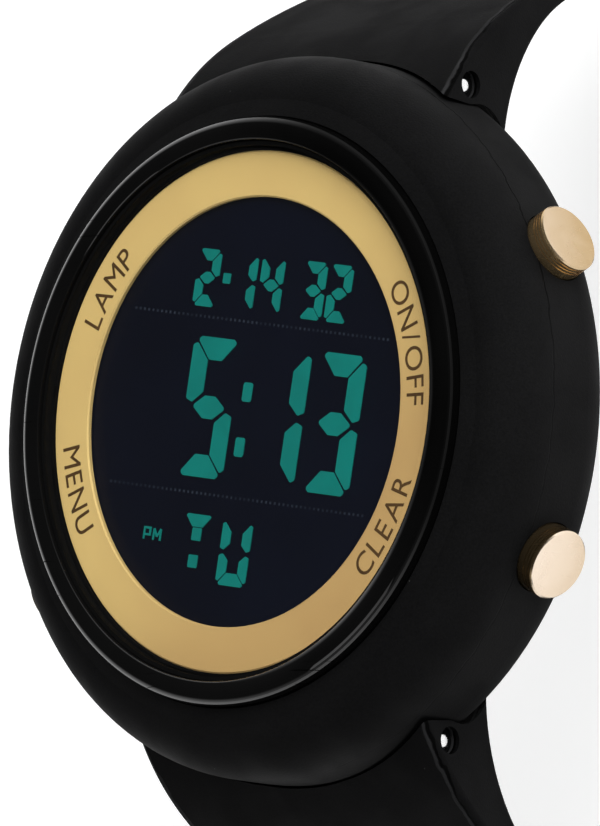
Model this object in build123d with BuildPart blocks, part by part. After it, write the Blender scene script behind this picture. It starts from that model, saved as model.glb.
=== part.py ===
"""Round digital wristwatch: moulded case, sealed module, four push-buttons and a two-piece strap.

Millimetres. +Z points out of the dial, +Y to the strap end above the display, +X to the side of the
pushers at two and four o'clock. The origin is the middle of the case back's outer face.
"""

import os
from math import cos, radians, sin, sqrt

from build123d import *

os.makedirs("parts", exist_ok=True)

# Shared clearances
running_gap = 0.04
slip_gap = 0.10
overrun = 1.0

# Case
case_radius = 25.0
case_floor = 1.0
foot_round = 3.0
seam_height = 7.4
dome_run = 3.4
dome_rise = 4.05
case_wall = 7.1
bore_radius = case_radius - case_wall
bezel_seat = 11.2
bezel_seat_wall = 0.55

# Case back, its gasket and screws
back_set_in = 3.6
back_radius = case_radius - back_set_in
back_flange = 1.0
back_flange_width = 3.0
back_flange_drop = 0.4
back_plate = 1.2
back_platform_radius = back_radius - back_flange_width
back_platform_chamfer = 0.3
back_pocket_wall = 0.8
back_pocket_radius = back_platform_radius - back_pocket_wall
back_screw_set_in = 1.45
back_screw_ring_radius = back_radius - back_screw_set_in
back_screw_count = 4
back_screw_radius = 0.6
back_screw_length = 3.4
back_screw_head_radius = 1.05
back_screw_head = 0.5
back_screw_slot = 0.22
gasket_set_out = 0.42
gasket_inner_radius = bore_radius + gasket_set_out
gasket_width = 0.5
gasket_height = 0.6

# Bezel, crystal and dial ring
bezel_set_in = 4.7
bezel_radius = case_radius - bezel_set_in
bezel_seat_radius = bezel_radius + slip_gap
bezel_rise = 1.9
bezel_crown_round = 0.95
bezel_slope_run = 0.6
bezel_slope_drop = 0.35
bezel_lip_width = 1.7
bezel_lip_radius = bezel_radius - bezel_lip_width
bezel_lip_break = 0.13
crystal_ledge = 0.75
crystal_ledge_width = 0.55
crystal_ledge_radius = bezel_lip_radius - crystal_ledge_width
crystal_thickness = 0.7
crystal_chamfer = 0.12
crystal_gasket_width = 0.28
crystal_gasket_height = 0.6
dial_ring_gap = 0.05
dial_ring_radius = crystal_ledge_radius - dial_ring_gap
dial_ring_width = 3.19
dial_ring_opening = dial_ring_radius - dial_ring_width
dial_ring_thickness = 0.35
dial_ring_height = 11.8
dial_ring_chamfer = 0.1
dial_turn = -8.9

# Display stack, counted down from the dial ring
dial_gap = 0.15
dial_overlap = 0.79
polariser_thickness = 0.15
polariser_radius = dial_ring_opening + dial_overlap
segment_thickness = 0.06
frame_gap = 0.4
frame_radius = bore_radius - frame_gap
frame_wall = 1.5
frame_bore = frame_radius - frame_wall
panel_thickness = 1.55
panel_radius = frame_bore - slip_gap
reflector_thickness = 0.2
guide_thickness = 0.9
guide_set_in = 0.9
guide_radius = panel_radius - guide_set_in
guide_flat = 2.9
guide_half_width = guide_radius - guide_flat
board_thickness = 0.7
board_radius = frame_bore - slip_gap
led_size = 2.4
led_width = 1.4
led_seat_share = 0.72
zebra_width = 1.6
zebra_length = 11.0
zebra_gap = 0.3

# Module frame and holder
frame_shelf = 0.8
frame_shelf_height = 0.6
module_floor = 2.7
board_height = 7.0
holder_set_in = 0.4
holder_radius = board_radius - holder_set_in
holder_wall = 5.2
holder_bore = holder_radius - holder_wall
post_ring_radius = holder_radius - holder_wall / 2
pocket_radius = 1.15

# Parts on the board
cell_gap = 0.3
cell_radius = holder_bore - cell_gap
cell_height = 2.5
cell_rim = 1.4
cell_cap = 0.35
insulator_set_in = 0.2
insulator_thickness = 0.15
chip_radius = 3.2
chip_height = 1.0
chip_round = 0.6
quartz_radius = 1.0
quartz_height = 4.0
clip_width = 5.0
clip_past_post = 1.3
clip_thickness = 0.25
module_screw_radius = 0.5
module_screw_head_radius = 1.05
module_screw_head = 0.55
module_screw_length = 3.5
module_screw_slot = 0.22
buzzer_gap = 3.6
buzzer_thickness = 0.3
buzzer_spring_radius = 0.8
buzzer_spring_wire = 0.24
buzzer_spring_turns = 7
cushion_gap = 4.9
cushion_radius = post_ring_radius - cushion_gap
cushion_width = 3.0

# Pushers
pusher_spread_angle = 25.1
pusher_height = 5.2
pusher_proud = 1.35
pusher_face_radius = case_radius + pusher_proud
pusher_head_radius = 2.47
pusher_head_length = 2.35
pusher_travel = 0.9
pusher_rest_gap = 0.1
pusher_face_chamfer = 0.12
pusher_groove_count = 3
pusher_groove_pitch = 0.26
pusher_groove_width = 0.1
pusher_groove_depth = 0.06
pusher_stem_radius = 0.9
pusher_stem_past = 1.0
pusher_bore_gap = 0.08
pusher_spring_seat = 1.8
pusher_spring_outer = 1.5
pusher_spring_wire = 0.3
pusher_spring_turns = 4
seal_depth = 1.6
seal_wire_radius = 0.25
clip_ring_radius = 1.5
clip_ring_thickness = 0.25
clip_ring_past = 0.7
clip_ring_slot = 0.9
stem_neck_radius = 0.7
contact_width = 2.4
contact_thickness = 0.15
contact_reach = 2.8
contact_foot = 0.38

# Spring bars
pin_set_in = 2.5
pin_y = case_radius - pin_set_in
pin_z = 4.4
tube_radius = 0.9
tube_wall = 0.25
tube_set_in = 4.2
tip_radius = 0.61
tip_recess = 0.65
fixed_tip_hold = 2.4
moving_tip_hold = 3.4
tip_round = 0.25
bar_spring_wire = 0.26
bar_spring_turns = 10

# Strap, root to tip
strap_root_share = 0.544
strap_root_half_width = strap_root_share * case_radius
strap_half_width = 10.0
strap_thickness = 2.1
root_outer_set_in = 4.2
root_outer_angle = 29.0
root_outer_radius = 21.0
root_outer_turn = 27.0
root_inner_set_in = 5.95
root_inner_z = 0.4
root_inner_angle = 4.0
root_inner_radius = 13.15
root_inner_turn = 56.0
root_run_in = 2.0
strap_bend_radius = 60.0
strap_bend_turn = 14.0
taper_start_z = 6.0
taper_end_z = -20.0
strap_edge_round = 0.45
strap_gap = 0.12
hinge_in_angle = 8.0
hinge_out_angle = 6.0
cheek_bore_depth = 0.85
cheek_bore_radius = 0.95

# Buckle half of the strap
buckle_strap_run = 24.0
bar_radius = 0.75
eye_radius = 1.75
tang_slot_half_width = 1.7
tang_slot_length = 4.2
keeper_length = 5.0
keeper_wall = 1.3
keeper_side_gap = 0.3
keeper_slide_gap = 0.15
keeper_room = 2.8
keeper_round = 0.5
fixed_keeper_place = 7.5
free_keeper_place = 16.5

# Buckle
buckle_half_width = 12.3
buckle_arm = 2.0
buckle_thickness = 1.8
buckle_drop = 9.7
buckle_cross_bar = 2.2
buckle_top = 1.6
buckle_round = 0.5
tang_half_width = 1.3
tang_thickness = 1.0
tang_loop_radius = 1.65
tang_rest_gap = 0.12
tang_tip_past = 0.9

# Hole half of the strap
tail_sweep_radius = 45.0
tail_curl_radius = 20.4
tail_flat = 34.0
tail_tip_round = 8.0
strap_hole_radius = 1.1
strap_hole_pitch = 6.0
strap_hole_first = 10.0
strap_hole_count = 7

# Display characters, in the turned frame of the dial, laid out for a given opening of the dial ring
# and scaled to the real one. The shares are of a stroke's width.
layout_opening = 14.81
bar_shares = (0.27, 0.16, 0.48, 1.08, 1.01)
side_shares = (0.42, 0.245, 0.29, 0.29, 0.39, 0.15, 1.045, 0.65)
waist_shares = (0.45, 1.17, 0.51)
time_digit_width = 4.58
time_digit_height = 9.65
time_stroke = 1.55
time_round = 0.2
time_base = -4.84
time_left_shares = (-1.308, 0.188, 1.341)
small_digit_width = 2.22
small_digit_height = 3.98
small_stroke = 0.8
small_round = 0.1
segment_gap = 0.05
colon_left = -0.66
colon_width = 0.89
colon_height = 1.33
colon_base_shares = (-2.331, 0.526)
date_base = 6.82
date_left_shares = (-3.032, -1.423, -0.255, 1.577, 2.698)
dash_left = -4.11
dash_base = 8.56
dash_size = 0.72
day_height = 4.58
day_width = 2.87
day_stroke = 0.87
day_base = -11.94
day_left_shares = (-1.578, -0.2334)
t_block = 0.89
mark_left = -8.12
mark_base = -9.54
mark_height = 0.8
mark_width = 0.66
mark_stroke = 0.16
mark_pitch = 0.92
mark_bowl_share = 0.42

# Heights that follow
recess_floor = back_flange + case_floor - back_flange_drop
bezel_crown = bezel_seat + bezel_rise
crystal_floor = bezel_seat + crystal_ledge
dial_ring_floor = dial_ring_height - dial_ring_thickness
polariser_top = dial_ring_floor - dial_gap
panel_top = polariser_top - polariser_thickness
panel_floor = panel_top - panel_thickness
reflector_floor = panel_floor - reflector_thickness
guide_floor = reflector_floor - guide_thickness
board_top = board_height + board_thickness
head_floor = pusher_face_radius - pusher_head_length
pusher_stem_end = bore_radius - pusher_stem_past
seal_place = bore_radius + seal_depth
clip_ring_place = bore_radius - clip_ring_past
counterbore_floor = head_floor - pusher_travel - pusher_rest_gap
spring_floor = counterbore_floor - pusher_spring_seat
tip_end = strap_root_half_width - tip_recess
tube_half_length = strap_root_half_width - tube_set_in
fixed_tip_seat = tube_half_length - fixed_tip_hold
moving_tip_seat = tube_half_length - moving_tip_hold
root_outer_y = case_radius - root_outer_set_in
root_inner_y = case_radius - root_inner_set_in
pusher_angles = {
    "two": pusher_spread_angle,
    "four": -pusher_spread_angle,
    "eight": 180 + pusher_spread_angle,
    "ten": 180 - pusher_spread_angle,
}
strap_sides = {"upper": 1, "lower": -1}


def radial_plane(angle, radius, height=pusher_height):
    """Plane that faces outwards at an angle about the dial's axis."""
    turn = radians(angle)
    return Plane(
        origin=(radius * cos(turn), radius * sin(turn), height),
        x_dir=(-sin(turn), cos(turn), 0),
        z_dir=(cos(turn), sin(turn), 0),
    )


def side_plane(side):
    """Plane across the strap, with its first axis running out from the case and its second up."""
    return Plane(origin=(0, 0, 0), x_dir=(0, side, 0), z_dir=(side, 0, 0))


def heading(angle):
    """Direction that points out from the case and down by an angle."""
    return (cos(radians(angle)), -sin(radians(angle)))


def coil(centre, direction, radius, wire, length, turns):
    """Compression spring as one tube, whose wire stays within its length."""
    with BuildPart() as spring:
        with BuildLine() as path:
            Helix(
                pitch=(length - wire) / turns,
                height=length - wire,
                radius=radius,
                center=centre,
                direction=direction,
            )
        with BuildSketch(Plane(origin=path.line @ 0, z_dir=path.line % 0)):
            Circle(wire / 2)
        sweep(path=path.line, is_frenet=True)
    return spring.part


# Case body: one revolved section, then its bores
with BuildPart() as case_body:
    with BuildSketch(Plane.XZ):
        with BuildLine():
            foot_centre = (case_radius - foot_round, case_floor + foot_round)
            dome_centre = (case_radius - dome_run, seam_height)
            seat_top = (bezel_seat_radius, bezel_seat + bezel_seat_wall)
            Polyline(
                (bore_radius, bezel_seat),
                (bore_radius, recess_floor),
                (back_radius + slip_gap, recess_floor),
                (back_radius + slip_gap, case_floor),
                (case_radius - foot_round, case_floor),
            )
            CenterArc(foot_centre, foot_round, -90, 90)
            Line((case_radius, case_floor + foot_round), (case_radius, seam_height))
            dome = EllipticalCenterArc(dome_centre, dome_run, dome_rise, start_angle=0, arc_size=90)
            Polyline(dome @ 1, seat_top, (bezel_seat_radius, bezel_seat), (bore_radius, bezel_seat))
        make_face()
    revolve(axis=Axis.Z)
    with BuildSketch(Plane.XY.offset(recess_floor)):
        Circle(gasket_inner_radius + gasket_width + running_gap)
        Circle(gasket_inner_radius - running_gap, mode=Mode.SUBTRACT)
    extrude(amount=gasket_height, mode=Mode.SUBTRACT)
    with BuildSketch(Plane.XY.offset(recess_floor)):
        with PolarLocations(back_screw_ring_radius, back_screw_count, start_angle=45):
            Circle(back_screw_radius + running_gap)
    extrude(amount=back_screw_length, mode=Mode.SUBTRACT)
    for angle in pusher_angles.values():
        with BuildSketch(radial_plane(angle, counterbore_floor)):
            Circle(pusher_head_radius + pusher_bore_gap)
        extrude(amount=case_radius - counterbore_floor + overrun, mode=Mode.SUBTRACT)
        with BuildSketch(radial_plane(angle, spring_floor)):
            Circle(pusher_spring_outer + slip_gap)
        extrude(amount=pusher_spring_seat, mode=Mode.SUBTRACT)
        with BuildSketch(radial_plane(angle, bore_radius - overrun)):
            Circle(pusher_stem_radius + running_gap)
        extrude(amount=spring_floor - bore_radius + overrun, mode=Mode.SUBTRACT)
        with BuildSketch(radial_plane(angle, seal_place - seal_wire_radius - running_gap)):
            Circle(pusher_stem_radius + 2 * (running_gap + seal_wire_radius))
        extrude(amount=2 * (seal_wire_radius + running_gap), mode=Mode.SUBTRACT)
    with BuildSketch(Plane.YZ):
        with Locations((pin_y, pin_z), (-pin_y, pin_z)):
            Circle(tube_radius + running_gap)
    extrude(amount=case_radius, both=True, mode=Mode.SUBTRACT)
case_body.part.label = "case_body"
export_step(case_body.part, "parts/case_body.step")

# Bezel ring, proud of the case, with a ledge for the crystal
with BuildPart() as bezel_ring:
    with BuildSketch(Plane.XZ):
        with BuildLine():
            crown_inner = bezel_radius - bezel_crown_round
            slope_foot = (crown_inner - bezel_slope_run, bezel_crown - bezel_slope_drop)
            Polyline(
                slope_foot,
                (bezel_lip_radius, slope_foot[1] - bezel_lip_break),
                (bezel_lip_radius, crystal_floor),
                (crystal_ledge_radius, crystal_floor),
                (crystal_ledge_radius, bezel_seat),
                (bezel_radius, bezel_seat),
                (bezel_radius, bezel_crown - bezel_crown_round),
            )
            crown = CenterArc(
                (crown_inner, bezel_crown - bezel_crown_round), bezel_crown_round, 0, 90
            )
            Line(crown @ 1, slope_foot)
        make_face()
    revolve(axis=Axis.Z)
bezel_ring.part.label = "bezel_ring"
export_step(bezel_ring.part, "parts/bezel_ring.step")

# Crystal and the gasket round its edge
crystal_radius = bezel_lip_radius - crystal_gasket_width - 2 * running_gap
with BuildPart() as crystal:
    with BuildSketch(Plane.XY.offset(crystal_floor)):
        Circle(crystal_radius)
    extrude(amount=crystal_thickness)
    chamfer(crystal.edges().group_by(Axis.Z)[-1], crystal_chamfer)
crystal.part.label = "crystal"
export_step(crystal.part, "parts/crystal.step")

with BuildPart() as crystal_gasket:
    with BuildSketch(Plane.XY.offset(crystal_floor)):
        Circle(crystal_radius + running_gap + crystal_gasket_width)
        Circle(crystal_radius + running_gap, mode=Mode.SUBTRACT)
    extrude(amount=crystal_gasket_height)
crystal_gasket.part.label = "crystal_gasket"
export_step(crystal_gasket.part, "parts/crystal_gasket.step")

# Dial ring
with BuildPart() as dial_ring:
    with BuildSketch(Plane.XY.offset(dial_ring_floor)):
        Circle(dial_ring_radius)
        Circle(dial_ring_opening, mode=Mode.SUBTRACT)
    extrude(amount=dial_ring_thickness)
    chamfer(dial_ring.edges().group_by(Axis.Z)[-1], dial_ring_chamfer)
dial_ring.part.label = "dial_ring"
export_step(dial_ring.part, "parts/dial_ring.step")

# Display panel with its front and rear films
with BuildPart() as lcd_panel:
    with BuildSketch(Plane.XY.offset(panel_floor)):
        Circle(panel_radius)
    extrude(amount=panel_thickness)
lcd_panel.part.label = "lcd_panel"
export_step(lcd_panel.part, "parts/lcd_panel.step")

with BuildPart() as lcd_polariser:
    with BuildSketch(Plane.XY.offset(panel_top)):
        Circle(polariser_radius)
    extrude(amount=polariser_thickness)
lcd_polariser.part.label = "lcd_polariser"
export_step(lcd_polariser.part, "parts/lcd_polariser.step")

with BuildPart() as lcd_reflector:
    with BuildSketch(Plane.XY.offset(reflector_floor)):
        Circle(guide_radius)
        Rectangle(2 * guide_radius, 2 * guide_half_width, mode=Mode.INTERSECT)
    extrude(amount=reflector_thickness)
lcd_reflector.part.label = "lcd_reflector"
export_step(lcd_reflector.part, "parts/lcd_reflector.step")

with BuildPart() as light_guide:
    with BuildSketch(Plane.XY.offset(guide_floor)):
        Circle(guide_radius)
        Rectangle(2 * guide_radius, 2 * guide_half_width, mode=Mode.INTERSECT)
    extrude(amount=guide_thickness)
light_guide.part.label = "light_guide"
export_step(light_guide.part, "parts/light_guide.step")

with BuildPart() as backlight_led:
    with BuildSketch(Plane.XY.offset(board_top)):
        with Locations((-guide_radius * led_seat_share, 0)):
            Rectangle(led_width, led_size)
    extrude(amount=guide_floor - board_top)
backlight_led.part.label = "backlight_led"
export_step(backlight_led.part, "parts/backlight_led.step")

with BuildPart() as zebra_strips:
    zebra_y = guide_half_width + zebra_gap + zebra_width / 2
    with BuildSketch(Plane.XY.offset(board_top)):
        with Locations((0, zebra_y), (0, -zebra_y)):
            Rectangle(zebra_length, zebra_width)
    extrude(amount=panel_floor - board_top)
zebra_strips.part.label = "zebra_strips"
export_step(zebra_strips.part, "parts/zebra_strips.step")


def digit_outlines(left, base, width, height, stroke):
    """Corner points of the seven segments of one digit, keyed by their places."""
    middle = base + height / 2
    half_width = width / 2
    half_height = height / 2
    bar_tip, bar_tip_drop, bar_top, bar_corner, bar_depth = (share * stroke for share in bar_shares)
    side_top, tip_in, tip_top, side_foot, foot_in, tip_foot, inner_top, inner_foot = (
        share * stroke for share in side_shares
    )
    waist_tip, waist_shoulder, waist_half = (share * stroke for share in waist_shares)
    bar = (
        (-half_width + bar_top, half_height), (half_width - bar_top, half_height),
        (half_width - bar_tip, half_height - bar_tip_drop),
        (half_width - bar_corner, half_height - bar_depth),
        (-half_width + bar_corner, half_height - bar_depth),
        (-half_width + bar_tip, half_height - bar_tip_drop),
    )
    side = (
        (half_width, half_height - side_top), (half_width, side_foot),
        (half_width - foot_in, tip_foot), (half_width - stroke, inner_foot),
        (half_width - stroke, half_height - inner_top), (half_width - tip_in, half_height - tip_top),
    )
    waist = (
        (-half_width + waist_tip, 0), (-half_width + waist_shoulder, waist_half),
        (half_width - waist_shoulder, waist_half), (half_width - waist_tip, 0),
        (half_width - waist_shoulder, -waist_half), (-half_width + waist_shoulder, -waist_half),
    )
    signs = {
        "top": (bar, 1, 1), "bottom": (bar, 1, -1), "middle": (waist, 1, 1),
        "top right": (side, 1, 1), "low right": (side, 1, -1),
        "top left": (side, -1, 1), "low left": (side, -1, -1),
    }
    return {
        place: [(left + half_width + across * x, middle + up * y) for x, y in corners]
        for place, (corners, across, up) in signs.items()
    }


lit_places = {
    "1": ("top right", "low right"),
    "2": ("top", "top right", "middle", "low left", "bottom"),
    "3": ("top", "top right", "middle", "low right", "bottom"),
    "4": ("top left", "top right", "middle", "low right"),
    "5": ("top", "top left", "middle", "low right", "bottom"),
    "U": ("top left", "low left", "bottom", "top right", "low right"),
}


def box_outline(left, base, width, height):
    """Corner points of an upright block."""
    right = left + width
    top = base + height
    return ((left, base), (right, base), (right, top), (left, top))


def bar_outline(start, end, stroke):
    """Corner points of a straight stroke between two points."""
    run = (end[0] - start[0], end[1] - start[1])
    length = sqrt(run[0] ** 2 + run[1] ** 2)
    side = (-run[1] / length * stroke / 2, run[0] / length * stroke / 2)
    return (
        (start[0] + side[0], start[1] + side[1]), (end[0] + side[0], end[1] + side[1]),
        (end[0] - side[0], end[1] - side[1]), (start[0] - side[0], start[1] - side[1]),
    )


# Lit characters: the time, the date and seconds above it, the day below it
time_outlines = []
for character, share in zip("513", time_left_shares):
    left = share * time_digit_width
    digit = digit_outlines(left, time_base, time_digit_width, time_digit_height, time_stroke)
    time_outlines += [digit[place] for place in lit_places[character]]
for share in colon_base_shares:
    time_outlines.append(box_outline(colon_left, share * colon_height, colon_width, colon_height))

small_outlines = []
for character, share in zip("21432", date_left_shares):
    left = share * small_digit_width
    digit = digit_outlines(left, date_base, small_digit_width, small_digit_height, small_stroke)
    small_outlines += [digit[place] for place in lit_places[character]]
letter_t, letter_u = (
    digit_outlines(share * day_width, day_base, day_width, day_height, day_stroke)
    for share in day_left_shares
)
small_outlines += [letter_u[place] for place in lit_places["U"]]
small_outlines.append(letter_t["top"])
t_middle = day_left_shares[0] * day_width + (day_width - t_block) / 2
t_upper = day_base + day_height - bar_shares[-1] * day_stroke - segment_gap - t_block
small_outlines.append(box_outline(t_middle, t_upper, t_block, t_block))
small_outlines.append(box_outline(t_middle, day_base + t_block, t_block, t_block))
small_outlines.append(box_outline(dash_left, dash_base, dash_size, dash_size))

mark_top = mark_base + mark_height
mark_m_left = mark_left + mark_pitch
mark_bar = mark_base + mark_height / 3
mark_middle = mark_base + mark_height * mark_bowl_share
mark_bowl = mark_left + mark_width * mark_bowl_share * 2
mark_strokes = (
    ((mark_left, mark_base), (mark_left, mark_top + mark_stroke / 2)),
    ((mark_left, mark_top), (mark_bowl, mark_top)),
    ((mark_bowl, mark_top + mark_stroke / 2), (mark_bowl, mark_middle - mark_stroke / 2)),
    ((mark_left, mark_middle), (mark_bowl, mark_middle)),
    ((mark_m_left, mark_base), (mark_m_left, mark_top)),
    ((mark_m_left + mark_width, mark_base), (mark_m_left + mark_width, mark_top)),
    ((mark_m_left, mark_top), (mark_m_left + mark_width / 2, mark_bar)),
    ((mark_m_left + mark_width, mark_top), (mark_m_left + mark_width / 2, mark_bar)),
)
mark_outlines = [bar_outline(start, end, mark_stroke) for start, end in mark_strokes]

with BuildPart() as lcd_segments:
    display_plane = Plane.XY.offset(polariser_top).rotated((0, 0, dial_turn))
    for outlines, corner_round in (
        (time_outlines, time_round), (small_outlines, small_round), (mark_outlines, 0)
    ):
        with BuildSketch(display_plane):
            for corners in outlines:
                with BuildLine():
                    Polyline(*corners, close=True)
                make_face()
            if corner_round:
                fillet(vertices(), corner_round)
            scale(by=dial_ring_opening / layout_opening)
        extrude(amount=segment_thickness)
lcd_segments.part.label = "lcd_segments"
export_step(lcd_segments.part, "parts/lcd_segments.step")

# Module frame that carries the panel, and the holder under the board
with BuildPart() as module_frame:
    with BuildSketch(Plane.XY.offset(board_height)):
        Circle(frame_radius)
        Circle(frame_bore, mode=Mode.SUBTRACT)
    extrude(amount=dial_ring_floor - board_height)
    with BuildSketch(Plane.XY.offset(panel_floor - frame_shelf_height)):
        Circle(frame_bore)
        Circle(frame_bore - frame_shelf, mode=Mode.SUBTRACT)
    extrude(amount=frame_shelf_height)
module_frame.part.label = "module_frame"
export_step(module_frame.part, "parts/module_frame.step")

with BuildPart() as circuit_board:
    with BuildSketch(Plane.XY.offset(board_height)):
        Circle(board_radius)
    extrude(amount=board_thickness)
circuit_board.part.label = "circuit_board"
export_step(circuit_board.part, "parts/circuit_board.step")

post_turn = post_ring_radius * cos(radians(45))
screw_places = (
    (post_ring_radius, 0), (-post_ring_radius, 0), (post_turn, post_turn), (-post_turn, -post_turn),
)
with BuildPart() as movement_holder:
    with BuildSketch(Plane.XY.offset(module_floor)):
        Circle(holder_radius)
        Circle(holder_bore, mode=Mode.SUBTRACT)
        with Locations((0, post_ring_radius), (0, -post_ring_radius)):
            Circle(pocket_radius, mode=Mode.SUBTRACT)
        with Locations(*screw_places):
            Circle(module_screw_radius + running_gap, mode=Mode.SUBTRACT)
    extrude(amount=board_height - module_floor)
movement_holder.part.label = "movement_holder"
export_step(movement_holder.part, "parts/movement_holder.step")

# Coin cell with its insulator above and its clip below
with BuildPart() as coin_cell:
    with BuildSketch(Plane.XY.offset(module_floor)):
        Circle(cell_radius)
    extrude(amount=cell_height - cell_cap)
    with BuildSketch(Plane.XY.offset(module_floor + cell_height - cell_cap)):
        Circle(cell_radius - cell_rim)
    extrude(amount=cell_cap)
coin_cell.part.label = "coin_cell"
export_step(coin_cell.part, "parts/coin_cell.step")

with BuildPart() as battery_insulator:
    with BuildSketch(Plane.XY.offset(module_floor + cell_height)):
        Circle(cell_radius - insulator_set_in)
    extrude(amount=insulator_thickness)
battery_insulator.part.label = "battery_insulator"
export_step(battery_insulator.part, "parts/battery_insulator.step")

with BuildPart() as battery_clip:
    with BuildSketch(Plane.XY.offset(module_floor - clip_thickness)):
        Rectangle(2 * (post_ring_radius + clip_past_post), clip_width)
        with Locations((post_ring_radius, 0), (-post_ring_radius, 0)):
            Circle(module_screw_radius + slip_gap, mode=Mode.SUBTRACT)
    extrude(amount=clip_thickness)
battery_clip.part.label = "battery_clip"
export_step(battery_clip.part, "parts/battery_clip.step")

with BuildPart() as chip_blob:
    with BuildSketch(Plane.XY.offset(board_height - chip_height)):
        Circle(chip_radius)
    extrude(amount=chip_height)
    fillet(chip_blob.edges().group_by(Axis.Z)[0], chip_round)
chip_blob.part.label = "chip_blob"
export_step(chip_blob.part, "parts/chip_blob.step")

with BuildPart() as quartz_can:
    with BuildSketch(Plane.XY.offset(board_height - quartz_height)):
        with Locations((0, post_ring_radius)):
            Circle(quartz_radius)
    extrude(amount=quartz_height)
    fillet(quartz_can.edges().group_by(Axis.Z)[0], quartz_radius / 4)
quartz_can.part.label = "quartz_can"
export_step(quartz_can.part, "parts/quartz_can.step")

# Module screws: two through the clip, two straight into the holder
with BuildPart() as module_screws:
    for place in screw_places:
        seat = module_floor - clip_thickness if place[1] == 0 else module_floor
        with BuildSketch(Plane.XY.offset(seat - module_screw_head)):
            with Locations(place):
                Circle(module_screw_head_radius)
        extrude(amount=module_screw_head)
        with BuildSketch(Plane.XY.offset(seat)):
            with Locations(place):
                Circle(module_screw_radius)
        extrude(amount=module_screw_length)
        with BuildSketch(Plane.XY.offset(seat - module_screw_head)):
            with Locations(place):
                Rectangle(2 * module_screw_head_radius, module_screw_slot)
        extrude(amount=module_screw_head / 2, mode=Mode.SUBTRACT)
module_screws.part.label = "module_screws"
export_step(module_screws.part, "parts/module_screws.step")

# Contact leaves that the pusher stems reach at full travel
with BuildPart() as contact_springs:
    for angle in pusher_angles.values():
        leaf_plane = radial_plane(angle, board_radius - contact_thickness, board_height)
        foot_plane = radial_plane(angle, board_radius - contact_foot, board_height)
        with BuildSketch(leaf_plane):
            with Locations((0, -contact_reach / 2)):
                Rectangle(contact_width, contact_reach)
        extrude(amount=contact_thickness)
        with BuildSketch(foot_plane):
            with Locations((0, -contact_thickness / 2)):
                Rectangle(contact_width, contact_thickness)
        extrude(amount=contact_foot)
contact_springs.part.label = "contact_springs"
export_step(contact_springs.part, "parts/contact_springs.step")

# Buzzer on the case back, with the spring that feeds it
with BuildPart() as buzzer_disc:
    with BuildSketch(Plane.XY.offset(back_plate)):
        Circle(back_pocket_radius - buzzer_gap)
    extrude(amount=buzzer_thickness)
buzzer_disc.part.label = "buzzer_disc"
export_step(buzzer_disc.part, "parts/buzzer_disc.step")

buzzer_top = back_plate + buzzer_thickness
buzzer_spring = coil(
    (0, -post_ring_radius, buzzer_top + buzzer_spring_wire / 2),
    (0, 0, 1),
    buzzer_spring_radius,
    buzzer_spring_wire,
    board_height - buzzer_top,
    buzzer_spring_turns,
)
buzzer_spring.label = "buzzer_spring"
export_step(buzzer_spring, "parts/buzzer_spring.step")

with BuildPart() as back_cushion:
    with BuildSketch(Plane.XY.offset(buzzer_top)):
        Circle(cushion_radius)
        Circle(cushion_radius - cushion_width, mode=Mode.SUBTRACT)
    extrude(amount=module_floor - clip_thickness - buzzer_top)
back_cushion.part.label = "back_cushion"
export_step(back_cushion.part, "parts/back_cushion.step")

# Case back, gasket and screws
with BuildPart() as back_gasket:
    with BuildSketch(Plane.XY.offset(recess_floor)):
        Circle(gasket_inner_radius + gasket_width)
        Circle(gasket_inner_radius, mode=Mode.SUBTRACT)
    extrude(amount=gasket_height)
back_gasket.part.label = "back_gasket"
export_step(back_gasket.part, "parts/back_gasket.step")

flange_floor = recess_floor - back_flange
with BuildPart() as case_back:
    with BuildSketch(Plane.XY.offset(flange_floor)):
        Circle(back_radius)
        with PolarLocations(back_screw_ring_radius, back_screw_count, start_angle=45):
            Circle(back_screw_radius + slip_gap, mode=Mode.SUBTRACT)
    extrude(amount=back_flange)
    with BuildSketch():
        Circle(back_platform_radius)
    extrude(amount=flange_floor)
    chamfer(case_back.edges().group_by(Axis.Z)[0], back_platform_chamfer)
    with BuildSketch(Plane.XY.offset(back_plate)):
        Circle(back_pocket_radius)
    extrude(amount=recess_floor - back_plate, mode=Mode.SUBTRACT)
    with BuildSketch(Plane.XY.offset(flange_floor)):
        with PolarLocations(back_screw_ring_radius, back_screw_count, start_angle=45):
            Circle(back_screw_head_radius + slip_gap)
    extrude(amount=back_screw_head, mode=Mode.SUBTRACT)
case_back.part.label = "case_back"
export_step(case_back.part, "parts/case_back.step")

with BuildPart() as back_screws:
    with BuildSketch(Plane.XY.offset(flange_floor)):
        with PolarLocations(back_screw_ring_radius, back_screw_count, start_angle=45):
            Circle(back_screw_head_radius)
    extrude(amount=back_screw_head)
    with BuildSketch(Plane.XY.offset(flange_floor + back_screw_head)):
        with PolarLocations(back_screw_ring_radius, back_screw_count, start_angle=45):
            Circle(back_screw_radius)
    extrude(amount=back_screw_length)
    with BuildSketch(Plane.XY.offset(flange_floor)):
        with PolarLocations(back_screw_ring_radius, back_screw_count, start_angle=45):
            Rectangle(2 * back_screw_head_radius, back_screw_slot)
            Rectangle(back_screw_slot, 2 * back_screw_head_radius)
    extrude(amount=back_screw_head / 2, mode=Mode.SUBTRACT)
back_screws.part.label = "back_screws"
export_step(back_screws.part, "parts/back_screws.step")

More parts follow.
